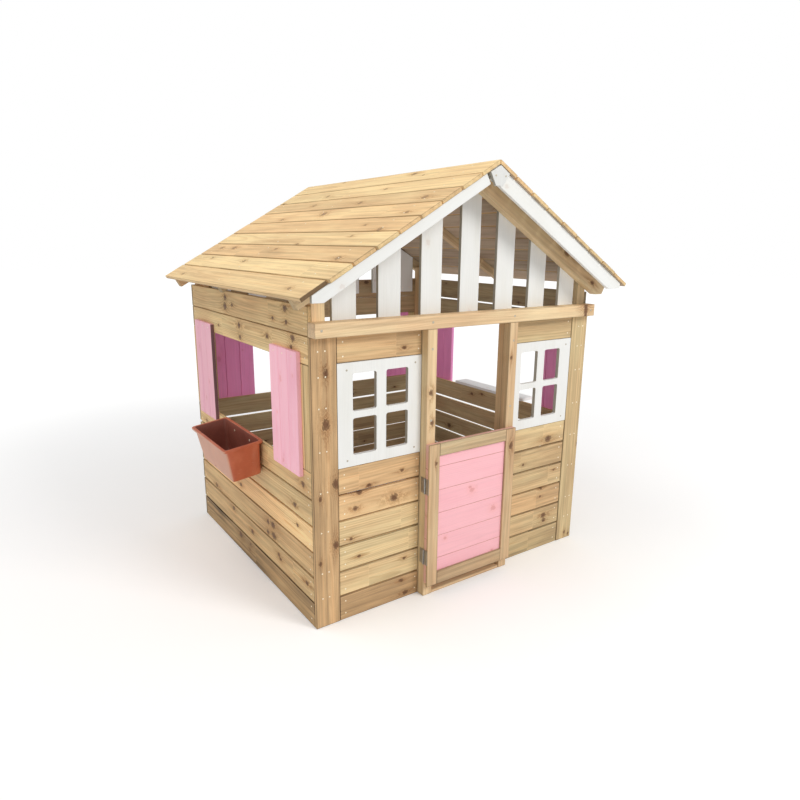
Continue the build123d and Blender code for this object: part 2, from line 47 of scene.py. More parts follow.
# =========================================================== node building
class Net:
    """A material's node tree, with short calls for the nodes used here."""

    def __init__(self, name):
        self.mat = bpy.data.materials.new(name)
        self.mat.use_nodes = True
        self.t = self.mat.node_tree
        self.t.nodes.clear()

    def put(self, sock, v):
        if isinstance(v, bpy.types.NodeSocket):
            self.t.links.new(v, sock)
        elif v is not None:
            if sock.type == "RGBA" and len(v) == 3:
                v = (*v, 1.0)
            sock.default_value = v

    def math(self, op, a, b=None, c=None, clamp=False):
        n = self.t.nodes.new("ShaderNodeMath")
        n.operation, n.use_clamp = op, clamp
        for i, v in enumerate((a, b, c)):
            if v is not None:
                self.put(n.inputs[i], v)
        return n.outputs[0]

    def add(self, a, b): return self.math("ADD", a, b)
    def sub(self, a, b): return self.math("SUBTRACT", a, b)
    def mul(self, a, b): return self.math("MULTIPLY", a, b)
    def div(self, a, b): return self.math("DIVIDE", a, b)

    def muladd(self, a, b, c): return self.math("MULTIPLY_ADD", a, b, c)

    def vec(self, name):
        n = self.t.nodes.new("ShaderNodeAttribute")
        n.attribute_name = name
        s = self.t.nodes.new("ShaderNodeSeparateXYZ")
        self.t.links.new(n.outputs["Vector"], s.inputs[0])
        return s.outputs[0], s.outputs[1], s.outputs[2]

    def sep(self, v):
        s = self.t.nodes.new("ShaderNodeSeparateXYZ")
        self.t.links.new(v, s.inputs[0])
        return s.outputs[0], s.outputs[1], s.outputs[2]

    def comb(self, x, y, z):
        n = self.t.nodes.new("ShaderNodeCombineXYZ")
        for i, v in enumerate((x, y, z)):
            self.put(n.inputs[i], v)
        return n.outputs[0]

    def noise(self, v, scale=1.0, detail=2.0, rough=0.5, colour=False, distort=0.0):
        n = self.t.nodes.new("ShaderNodeTexNoise")
        n.noise_dimensions = "3D"
        self.put(n.inputs["Vector"], v)
        n.inputs["Scale"].default_value = scale
        n.inputs["Detail"].default_value = detail
        n.inputs["Roughness"].default_value = rough
        n.inputs["Distortion"].default_value = distort
        return n.outputs["Color"] if colour else n.outputs["Fac"]

    def white(self, w):
        n = self.t.nodes.new("ShaderNodeTexWhiteNoise")
        n.noise_dimensions = "1D"
        self.put(n.inputs["W"], w)
        return self.sep(n.outputs["Color"])

    def smooth(self, x, lo, hi, a=0.0, b=1.0):
        n = self.t.nodes.new("ShaderNodeMapRange")
        n.interpolation_type = "SMOOTHSTEP"
        for i, v in enumerate((x, lo, hi, a, b)):
            self.put(n.inputs[i], v)
        return n.outputs[0]

    def lin(self, x, lo, hi, a=0.0, b=1.0):
        n = self.t.nodes.new("ShaderNodeMapRange")
        n.clamp = True
        for i, v in enumerate((x, lo, hi, a, b)):
            self.put(n.inputs[i], v)
        return n.outputs[0]

    def mix(self, f, a, b, mode="MIX"):
        n = self.t.nodes.new("ShaderNodeMix")
        n.data_type, n.blend_type = "RGBA", mode
        self.put(n.inputs[0], f)
        self.put(n.inputs[6], a)
        self.put(n.inputs[7], b)
        return n.outputs[2]

    def scale_col(self, c, k):
        """Colour times a number."""
        return self.mix(1.0, c, self.comb(k, k, k), "MULTIPLY")

    def bump(self, h, strength=0.3, dist=0.001, normal=None):
        n = self.t.nodes.new("ShaderNodeBump")
        n.inputs["Strength"].default_value = strength
        n.inputs["Distance"].default_value = dist
        self.put(n.inputs["Height"], h)
        if normal is not None:
            self.put(n.inputs["Normal"], normal)
        return n.outputs[0]

    def coords(self):
        n = self.t.nodes.new("ShaderNodeTexCoord")
        return n.outputs["Object"]

    def facing(self):
        """The surface normal, in the object's own axes."""
        n = self.t.nodes.new("ShaderNodeTexCoord")
        return self.sep(n.outputs["Normal"])

    def finish(self, colour, rough, normal, metal=0.0, spec=0.35, coat=0.0):
        p = self.t.nodes.new("ShaderNodeBsdfPrincipled")
        o = self.t.nodes.new("ShaderNodeOutputMaterial")
        self.put(p.inputs["Base Color"], colour)
        self.put(p.inputs["Roughness"], rough)
        self.put(p.inputs["Metallic"], metal)
        p.inputs["Specular IOR Level"].default_value = spec
        p.inputs["Coat Weight"].default_value = coat
        if normal is not None:
            self.put(p.inputs["Normal"], normal)
        self.t.links.new(p.outputs[0], o.inputs[0])
        return self.mat


def grain(n):
    """Wood fields of a board, from its own coordinates: rings round a pith, fibres, streaks, knots, finger joints, edges."""
    u, v, w = n.vec("bc")
    tone, seed, hue = n.vec("bd")
    v0, w0, space = n.vec("pith")
    f1, f2, end_shade = n.vec("fj")
    hu, hv, hw = n.vec("hb")
    seg = n.add(n.math("GREATER_THAN", u, f1), n.math("GREATER_THAN", u, f2))
    r1, r2, r3 = n.white(n.muladd(seg, 3.71, seed))
    ou = n.muladd(seg, 7.3, seed)
    # slow wander of the pith along the board
    c = n.sep(n.noise(n.comb(n.muladd(u, 1.7, ou), n.muladd(v, 4.0, seed), n.mul(w, 4.0)), 1.0, 1.5, 0.5, colour=True))
    dv = n.add(n.sub(v, n.muladd(n.sub(r1, 0.5), 0.05, v0)), n.mul(n.sub(c[0], 0.5), 0.05))
    dw = n.add(n.sub(w, n.muladd(n.sub(r2, 0.5), 0.02, w0)), n.mul(n.sub(c[1], 0.5), 0.03))
    r = n.math("SQRT", n.add(n.mul(dv, dv), n.mul(dw, dw)))
    r = n.add(r, n.mul(u, n.muladd(n.sub(r3, 0.5), 0.03, 0.0)))
    blotch = n.noise(n.comb(n.muladd(u, 2.6, seed), n.muladd(v, 11.0, seed), n.mul(w, 11.0)), 1.0, 3.0, 0.6)
    streak = n.noise(n.comb(n.muladd(u, 1.9, ou), n.muladd(v, 70.0, seed), n.mul(w, 70.0)), 1.0, 3.0, 0.62)
    fib = n.noise(n.comb(n.muladd(u, 12.0, ou), n.muladd(v, 330.0, seed), n.mul(w, 330.0)), 1.0, 2.0, 0.6)
    wob = n.noise(n.comb(n.muladd(u, 9.0, ou), n.muladd(v, 32.0, seed), n.mul(w, 32.0)), 1.0, 2.0, 0.5)
    rag = n.noise(n.comb(n.muladd(u, 95.0, seed), n.muladd(v, 130.0, seed), n.mul(w, 130.0)), 1.0, 2.0, 0.6)
    core, rim, halo, push, arms = None, None, None, None, None
    for k in ("k1", "k2", "k3", "k4", "k5", "k6"):
        ku, kv, kr = n.vec(k)
        a = n.mul(n.sub(u, ku), 0.74)
        b = n.sub(v, kv)
        d = n.math("SQRT", n.add(n.mul(a, a), n.mul(b, b)))
        d = n.div(n.mul(d, n.muladd(n.sub(rag, 0.5), 1.5, n.muladd(n.sub(wob, 0.5), 0.6, 1.0))), n.math("MAXIMUM", kr, 0.0001))
        a2 = n.mul(a, 0.27)
        d2 = n.div(n.math("SQRT", n.add(n.mul(a2, a2), n.mul(b, b))), n.math("MAXIMUM", kr, 0.0001))
        ka = n.smooth(n.mul(d2, n.muladd(n.sub(wob, 0.5), 1.3, 1.0)), 0.5, 2.4, 1.0, 0.0)
        kc = n.smooth(d, 0.55, 1.0, 1.0, 0.0)
        km = n.mul(n.smooth(d, 0.62, 0.95), n.smooth(d, 0.98, 1.35, 1.0, 0.0))
        kh = n.smooth(d, 0.9, 4.2, 1.0, 0.0)
        kp = n.mul(n.math("EXPONENT", n.mul(n.mul(d, d), -0.22)), kr)
        core = kc if core is None else n.math("MAXIMUM", core, kc)
        rim = km if rim is None else n.math("MAXIMUM", rim, km)
        halo = kh if halo is None else n.math("MAXIMUM", halo, kh)
        push = kp if push is None else n.add(push, kp)
        arms = ka if arms is None else n.math("MAXIMUM", arms, ka)
    r = n.add(r, n.mul(push, 1.1))
    ring = n.add(n.div(r, space), n.mul(n.sub(wob, 0.5), 0.55))
    ph = n.math("FRACT", ring)
    idx = n.math("FLOOR", ring)
    q1, q2, q3 = n.white(n.muladd(idx, 1.37, seed))
    late = n.mul(n.smooth(ph, 0.25, 0.86), n.smooth(ph, 0.88, 1.0, 1.0, 0.0))
    late = n.mul(late, n.muladd(q1, 0.65, 0.35))
    du = n.sub(hu, n.math("ABSOLUTE", u))
    dve = n.sub(hv, n.math("ABSOLUTE", v))
    dwe = n.sub(hw, n.math("ABSOLUTE", w))
    eu, ev, ew = (n.smooth(x, 0.0, 0.0035, 1.0, 0.0) for x in (du, dve, dwe))
    edge = n.math("MAXIMUM", n.mul(ev, ew), n.math("MAXIMUM", n.mul(eu, ev), n.mul(eu, ew)))
    end = n.smooth(du, 0.0, 0.02, 1.0, 0.0)
    face_end = n.smooth(du, 0.0, 0.0012, 1.0, 0.0)
    line = n.math("MAXIMUM", n.smooth(n.math("ABSOLUTE", n.sub(u, f1)), 0.0004, 0.0014, 1.0, 0.0),
                  n.smooth(n.math("ABSOLUTE", n.sub(u, f2)), 0.0004, 0.0014, 1.0, 0.0))
    return dict(u=u, v=v, w=w, tone=tone, seed=seed, hue=hue, seg=r3, seg2=r1, blotch=blotch, streak=streak, fib=fib,
                wob=wob, core=core, rim=rim, halo=halo, arms=arms, late=late, edge=edge, end=end, face_end=face_end, line=line, end_shade=end_shade)


def pine(name, early, late, knot, warm, cool, contrast=1.0, spec=0.3, tone_k=0.3, rough=0.6, left=(1.0, 1.0, 1.0),
         soft=1.0, rings=0.44, joints=0.28, down=None, inward=None):
    """Planed pine. Early and late wood colours, knot colour, two tints it drifts between, and painted light and shade
    on faces looking left.
    """
    n = Net(name)
    g = grain(n)
    col = n.mix(n.mul(g["late"], rings * contrast), early, late)
    drift = n.math("ADD", n.mul(n.sub(g["blotch"], 0.5), 2.2), n.add(0.5, n.mul(g["hue"], 0.5)), clamp=True)
    col = n.mix(1.0, col, n.mix(drift, warm, cool), "MULTIPLY")
    k = n.muladd(n.sub(g["streak"], 0.5), 0.95 * contrast, 1.0)
    k = n.muladd(n.sub(g["fib"], 0.5), 0.22, k)
    k = n.muladd(n.sub(g["blotch"], 0.5), 0.60 * contrast, k)
    k = n.muladd(g["tone"], tone_k, k)
    k = n.muladd(n.sub(g["seg"], 0.5), 0.09, k)
    # board edges are darkened: painted shade in the joints between boards
    k = n.muladd(g["edge"], -joints, k)
    k = n.mul(k, n.muladd(g["face_end"], -0.20, 1.0))
    k = n.muladd(g["line"], 0.13, k)
    col = n.scale_col(col, k)
    # darker resin-rich streaks that come and go along the board
    dark = n.mul(n.smooth(g["streak"], 0.60, 0.72), n.smooth(g["blotch"], 0.42, 0.62))
    col = n.mix(n.mul(dark, 0.55 * contrast), col, n.mix(1.0, col, (0.66, 0.50, 0.36), "MULTIPLY"))
    # end faces of the listed boards turn dark brown: painted shade
    col = n.mix(n.mul(g["face_end"], n.mul(g["end_shade"], 0.9)), col, n.scale_col((0.115, 0.062, 0.028), n.muladd(g["fib"], 0.8, 0.6)))
    # the grain parts round a knot and darkens in arms along it
    arm = n.mul(g["arms"], n.smooth(n.add(g["streak"], n.mul(g["late"], 0.22)), 0.42, 0.70))
    col = n.mix(n.mul(g["halo"], 0.28 * soft), col, n.mix(1.0, col, (0.70, 0.52, 0.37), "MULTIPLY"))
    col = n.mix(n.mul(arm, 0.65 * soft), col, n.mix(1.0, col, (0.46, 0.32, 0.21), "MULTIPLY"))
    col = n.mix(n.mul(g["core"], 0.90 * soft), col, n.scale_col(knot, n.muladd(g["late"], -0.5, n.muladd(g["fib"], 0.5, 0.95))))
    col = n.mix(n.mul(g["rim"], 0.6 * soft), col, tuple(x * 0.5 for x in knot))
    # faces looking down get a darker, bluish tint: painted shade on the undersides of the roof boards
    if down is not None:
        col = n.mix(n.smooth(n.facing()[2], -0.8, -0.4, 1.0, 0.0), col, n.mix(1.0, col, down, "MULTIPLY"))
    # faces looking into the house get a darker, bluish tint: painted shade inside the house
    if inward is not None:
        nx, ny, nz = n.facing()
        col = n.mix(n.smooth(n.math("MINIMUM", nx, ny), -0.8, -0.4, 1.0, 0.0), col, n.mix(1.0, col, inward, "MULTIPLY"))
    # painted light and shade on faces looking left: darker on the wall and frame boards, lighter on the beam's left end
    if left != (1.0, 1.0, 1.0):
        nx = n.facing()[0]
        col = n.mix(n.smooth(nx, -0.9, -0.5, 1.0, 0.0), col, n.mix(1.0, col, left, "MULTIPLY"))
    h = n.muladd(g["late"], 0.55, n.muladd(g["fib"], 0.9, n.mul(g["streak"], 0.5)))
    h = n.sub(h, n.mul(g["rim"], 0.9))
    h = n.sub(h, n.mul(g["line"], 0.6))
    ro = n.muladd(g["fib"], 0.16, n.muladd(g["late"], -0.1, rough - 0.04))
    ro = n.muladd(g["core"], -0.14, ro)
    return n.finish(col, ro, n.bump(h, 0.45, 0.0009), spec=spec)


def paint(name, base, bare, bleed=0.25, relief=0.5, shade=(0.93, 0.93, 0.93), spec=0.4, rough=0.5, wear=0.35, sides=None, caps=None, inward=None):
    """Paint over pine: the grain shows as relief, knots bleed through and the edges rub bare."""
    n = Net(name)
    g = grain(n)
    k = n.muladd(n.sub(g["streak"], 0.5), 0.10 * relief, 1.0)
    k = n.muladd(n.sub(g["fib"], 0.5), 0.08 * relief, k)
    k = n.muladd(g["late"], -0.07 * relief, k)
    k = n.muladd(g["tone"], 0.05, k)
    col = n.scale_col(base, k)
    col = n.mix(n.smooth(g["blotch"], 0.42, 0.75), col, n.mix(1.0, col, shade, "MULTIPLY"))
    col = n.mix(n.mul(g["halo"], bleed * 0.5), col, n.mix(1.0, col, (0.9, 0.74, 0.56), "MULTIPLY"))
    col = n.mix(n.mul(g["core"], bleed), col, n.mix(1.0, col, (0.62, 0.42, 0.34), "MULTIPLY"))
    col = n.mix(n.mul(g["rim"], bleed), col, n.mix(1.0, col, (0.7, 0.45, 0.4), "MULTIPLY"))
    fy = n.facing()[1]
    # faces looking to the front on the listed boards turn dark brown: painted shade
    col = n.mix(n.mul(g["end_shade"], n.smooth(fy, -0.9, -0.6, 0.85, 0.0)), col, (0.085, 0.040, 0.034))
    if sides is not None:        # faces looking sideways are darker: painted shade on the sides of pickets and frames, and also less paint on these edges
        nx, ny, nz = n.facing()
        col = n.mix(n.smooth(n.math("ABSOLUTE", nx), 0.55, 0.92), col, n.mix(1.0, col, sides, "MULTIPLY"))
    # faces looking into the house get a more magenta tint: painted shade, the colour these shutters show in shade
    if inward is not None:       # faces looking into the house
        nx, ny, nz = n.facing()
        col = n.mix(n.smooth(n.math("MINIMUM", nx, ny), -0.8, -0.4, 1.0, 0.0), col, n.mix(1.0, col, inward, "MULTIPLY"))
    if caps is not None:
        nx, ny, nz = n.facing()
        col = n.mix(n.mul(n.smooth(n.math("ABSOLUTE", ny), 0.3, 0.8, 1.0, 0.0), n.muladd(g["wob"], 0.8, 0.35)), col, caps)
    worn = n.mul(n.smooth(n.add(n.mul(g["edge"], 0.6), n.mul(g["wob"], 0.7)), 0.86, 1.02), wear)
    col = n.mix(worn, col, bare)
    h = n.muladd(g["late"], 0.5, n.muladd(g["fib"], 0.6, n.mul(g["streak"], 0.6)))
    h = n.sub(h, n.mul(g["rim"], 0.8))
    ro = n.muladd(g["fib"], 0.18, n.muladd(g["blotch"], 0.1, rough - 0.12))
    return n.finish(col, ro, n.bump(h, 0.32 * relief + 0.12, 0.0008), spec=spec)


def terracotta(name, dark, light, glow=0.0):
    n = Net(name)
    p = n.coords()
    big = n.noise(p, 9.0, 3.0, 0.6)
    mid = n.noise(p, 60.0, 4.0, 0.65)
    peel = n.noise(p, 900.0, 2.0, 0.5)
    x, y, z = n.sep(p)
    flow = n.noise(n.comb(n.mul(x, 30.0), n.mul(y, 30.0), n.mul(z, 5.0)), 1.0, 3.0, 0.6)
    col = n.mix(n.smooth(big, 0.35, 0.7), dark, light)
    col = n.scale_col(col, n.muladd(n.sub(mid, 0.5), 0.16, 1.0))
    dust = n.mul(n.smooth(flow, 0.55, 0.8), 0.16)
    col = n.mix(dust, col, (0.72, 0.42, 0.30))
    scr = n.noise(n.comb(n.mul(x, 40.0), n.mul(y, 400.0), n.mul(z, 400.0)), 1.0, 2.0, 0.5)
    scuff = n.mul(n.smooth(scr, 0.68, 0.74), 0.25)
    col = n.mix(scuff, col, (0.75, 0.40, 0.27))
    # faces looking left are lightened toward a pale tan: a painted sheen
    nx = n.facing()[0]
    col = n.mix(n.mul(n.smooth(nx, -0.85, -0.4, 1.0, 0.0), glow), col, (0.80, 0.58, 0.42))
    ro = n.add(n.muladd(mid, 0.18, 0.30), n.mul(dust, 0.8))
    h = n.muladd(peel, 0.35, n.mul(mid, 0.8))
    return n.finish(col, ro, n.bump(h, 0.2, 0.0006), spec=0.45)


def steel(name, base=(0.56, 0.57, 0.58), rust=0.0, metal=0.95):
    n = Net(name)
    p = n.coords()
    vo = n.t.nodes.new("ShaderNodeTexVoronoi")
    vo.feature = "F1"
    vo.inputs["Scale"].default_value = 420.0
    n.t.links.new(p, vo.inputs["Vector"])
    cell = n.sep(vo.outputs["Color"])[0]
    big = n.noise(p, 130.0, 3.0, 0.6)
    x, y, z = n.sep(p)
    brush = n.noise(n.comb(n.mul(x, 1500.0), n.mul(y, 1500.0), n.mul(z, 160.0)), 1.0, 2.0, 0.5)
    col = n.scale_col(base, n.muladd(cell, 0.22, n.muladd(big, 0.3, 0.74)))
    spot = n.smooth(big, 0.60, 0.72)
    col = n.mix(n.mul(spot, 0.35 + rust), col, (0.30, 0.26, 0.22))
    ro = n.muladd(cell, 0.14, n.muladd(brush, 0.14, 0.26))
    ro = n.muladd(spot, 0.2, ro)
    return n.finish(col, ro, n.bump(n.muladd(cell, 0.3, n.mul(brush, 0.5)), 0.25, 0.0004), metal=n.muladd(spot, -0.2, metal), spec=0.5)


KNOT = (0.13, 0.055, 0.024)
WARM, COOL = (1.04, 0.95, 0.87), (0.92, 1.0, 0.97)
M = {
    "wall": pine("pine_wall_look", (0.68, 0.485, 0.275), (0.47, 0.295, 0.140), KNOT, WARM, COOL, 1.15, left=(0.92, 0.92, 0.88), joints=0.55),
    "side": pine("pine_side_look", (0.685, 0.490, 0.262), (0.44, 0.270, 0.115), KNOT, WARM, COOL, 1.35, joints=0.60),
    # the inward tint of these walls is painted shade on their inner faces
    "rear": pine("pine_rear_look", (0.66, 0.475, 0.250), (0.43, 0.265, 0.110), KNOT, WARM, COOL, 1.2,
                 inward=(0.67, 0.70, 0.82)),
    "roof": pine("pine_roof_look", (0.885, 0.640, 0.345), (0.66, 0.415, 0.190), (0.24, 0.125, 0.055), (1.02, 0.95, 0.90),
                 (0.95, 1.0, 0.98), 0.95, rough=0.64, soft=0.75, rings=0.55, joints=0.45, down=(0.57, 0.63, 0.88)),
    "frame": pine("pine_frame_look", (0.73, 0.525, 0.325), (0.52, 0.335, 0.175), KNOT, WARM, COOL, 0.9, left=(0.90, 0.90, 0.86)),
    "beam": pine("pine_beam_look", (0.74, 0.530, 0.330), (0.56, 0.365, 0.200), KNOT, WARM, COOL, 1.0, left=(1.22, 1.18, 1.22)),
    "white": paint("white_paint_look", (0.815, 0.82, 0.80), (0.60, 0.47, 0.30), 0.20, 0.55, (0.955, 0.95, 0.93), rough=0.5, wear=0.30, sides=(0.50, 0.47, 0.40)),
    "grey": paint("grey_white_paint_look", (0.86, 0.87, 0.885), (0.55, 0.46, 0.33), 0.22, 0.6, (0.94, 0.95, 0.96), rough=0.5, wear=0.3),
    "door": paint("door_pink_look", (0.93, 0.50, 0.545), (0.72, 0.47, 0.33), 0.42, 0.8, (0.97, 0.90, 0.92), rough=0.55, wear=0.3, caps=(0.66, 0.40, 0.27)),
    "shutter": paint("shutter_pink_look", (0.97, 0.53, 0.62), (0.66, 0.42, 0.32), 0.28, 1.2, (0.93, 0.86, 0.90), rough=0.55, wear=0.3),
    # the inward tint of these shutters is painted shade on their inner faces
    "shutter2": paint("shutter_rear_look", (0.97, 0.53, 0.62), (0.66, 0.42, 0.32), 0.28, 1.2, (0.93, 0.86, 0.90), rough=0.55, wear=0.3,
                      inward=(1.0, 0.66, 1.12)),
    "pot": terracotta("terracotta_look", (0.52, 0.122, 0.054), (0.63, 0.175, 0.083), 0.44),
    # darker copy of the terracotta for the inside of the trough: painted shade
    "pot_in_shaded": terracotta("terracotta_inside_look", (0.27, 0.080, 0.054), (0.34, 0.108, 0.074)),
    "steel": steel("zinc_steel_look", (0.40, 0.39, 0.37), 0.15),
    "nail": steel("nail_steel_look", (0.95, 0.86, 0.66), 0.0, 0.25),
    "screw": steel("zinc_screw_look", (0.52, 0.47, 0.38), 0.1, 0.5),
}

# ============================================================ board meshes
def islands(node):
    """The node's CAD mesh with doubled vertices merged, as one bmesh per solid."""
    bm = bmesh.new()
    bm.from_mesh(NODES[node].data)
    bmesh.ops.remove_doubles(bm, verts=bm.verts, dist=2e-6)
    seen, parts = set(), []
    bm.verts.ensure_lookup_table()
    for v in bm.verts:
        if v.index in seen:
            continue
        stack, comp = [v], []
        seen.add(v.index)
        while stack:
            a = stack.pop()
            comp.append(a)
            for e in a.link_edges:
                b = e.other_vert(a)
                if b.index not in seen:
                    seen.add(b.index)
                    stack.append(b)
        parts.append(comp)
    out = []
    for comp in parts:
        nb = bmesh.new()
        m = {v: nb.verts.new(v.co) for v in comp}
        for f in {f for v in comp for f in v.link_faces}:
            try:
                nb.faces.new([m[v] for v in f.verts])
            except ValueError:
                pass
        nb.normal_update()
        out.append(nb)
    bm.free()
    out.sort(key=lambda b: tuple(round(c, 4) for c in centre(b)))
    return out


def centre(b):
    lo = Vector((min(v.co[i] for v in b.verts) for i in range(3)))
    hi = Vector((max(v.co[i] for v in b.verts) for i in range(3)))
    return (lo + hi) / 2


def axes(c, grain_dir, slope=False):
    """Length, width and thickness directions of a board."""
    side = -1 if c.x < RIDGE_X else 1
    down = Vector((side * math.cos(ANG), 0, -math.sin(ANG)))
    nrm = Vector((side * math.sin(ANG), 0, math.cos(ANG)))
    if grain_dir == "slope":
        return down, nrm, Y
    if grain_dir == "Y" and slope:
        return Y, down, nrm
    return {"X": (X, Z, Y), "Y": (Y, Z, X), "Z": (Z, X, Y)}[grain_dir]


# node: (material, slot, grain direction, sloped, bevel in mm, knots per metre, body)
WOOD = {}


def wood(names, mat, slot, direction, bevel, knots, slope=False, joint=0.5, body="house", warp=1.0, tone=0.0):
    for nm in names.split():
        WOOD[nm] = dict(mat=mat, slot=slot, dir=direction, slope=slope, bevel=bevel / 1000, knots=knots, joint=joint,
                        body=body, warp=warp, tone=tone)


wood("left_wall_lower_planks left_wall_upper_planks", "side", "pine_wall", "Y", 2.6, 2.2)
wood("right_wall_lower_planks right_wall_upper_planks", "rear", "pine_wall", "Y", 2.6, 2.2)
wood("back_wall_lower_planks back_wall_upper_planks", "rear", "pine_wall", "X", 2.6, 2.2)
wood("left_wall_end_boards right_wall_end_boards back_wall_end_boards", "side", "pine_wall", "Z", 2.0, 1.0, joint=0.0)
wood("front_left_lower_planks front_right_lower_planks", "wall", "pine_wall", "X", 2.6, 2.6, joint=0.6)
wood("front_top_planks", "wall", "pine_wall", "X", 2.2, 1.0)
wood("front_corner_boards", "wall", "pine_wall", "Z", 2.6, 2.2, joint=0.3)
wood("roof_planks_left roof_planks_right", "roof", "pine_roof", "Y", 2.8, 1.6, slope=True, joint=0.2)
wood("header_beam", "beam", "pine_frame", "X", 2.4, 1.2, joint=0.0)
wood("door_posts", "frame", "pine_frame", "Z", 2.4, 2.0, joint=0.0)
wood("door_jamb_studs corner_posts front_panel_battens", "frame", "pine_frame", "Z", 2.0, 1.6, joint=0.2)
wood("door_threshold", "frame", "pine_frame", "X", 1.6, 1.5, joint=0.0)
wood("rafters_front rafters_middle rafters_rear", "frame", "pine_frame", "slope", 2.4, 2.0, joint=0.2)
wood("rake_board_left rake_board_right", "white", "white_wood", "slope", 2.0, 1.5, joint=0.0)
wood("apex_plate", "white", "white_wood", "Z", 1.6, 0.0, joint=0.0, warp=0.0)
wood("front_gable_pickets back_gable_pickets", "white", "white_wood", "Z", 2.2, 1.4, joint=0.2)
wood("front_left_window_frame front_right_window_frame", "white", "white_wood", "Z", 2.4, 0.8, joint=0.0, warp=0.0)
wood("left_shutter_front left_shutter_rear", "shutter", "pink_wood", "Z", 2.6, 2.6, joint=0.2)
wood("right_shutter_front right_shutter_rear back_shutter_left back_shutter_right", "shutter2", "pink_wood", "Z", 2.6, 2.6, joint=0.2)
wood("window_shelf", "grey", "grey_white_wood", "Y", 2.4, 2.0, joint=0.0)
wood("half_door_planks", "door", "pink_wood", "X", 1.5, 3.0, joint=0.3, body="half_door")
wood("half_door_stiles", "frame", "pine_frame", "Z", 1.6, 1.6, joint=0.0, body="half_door")
wood("half_door_rails", "frame", "pine_frame", "X", 1.6, 1.6, joint=0.0, body="half_door")

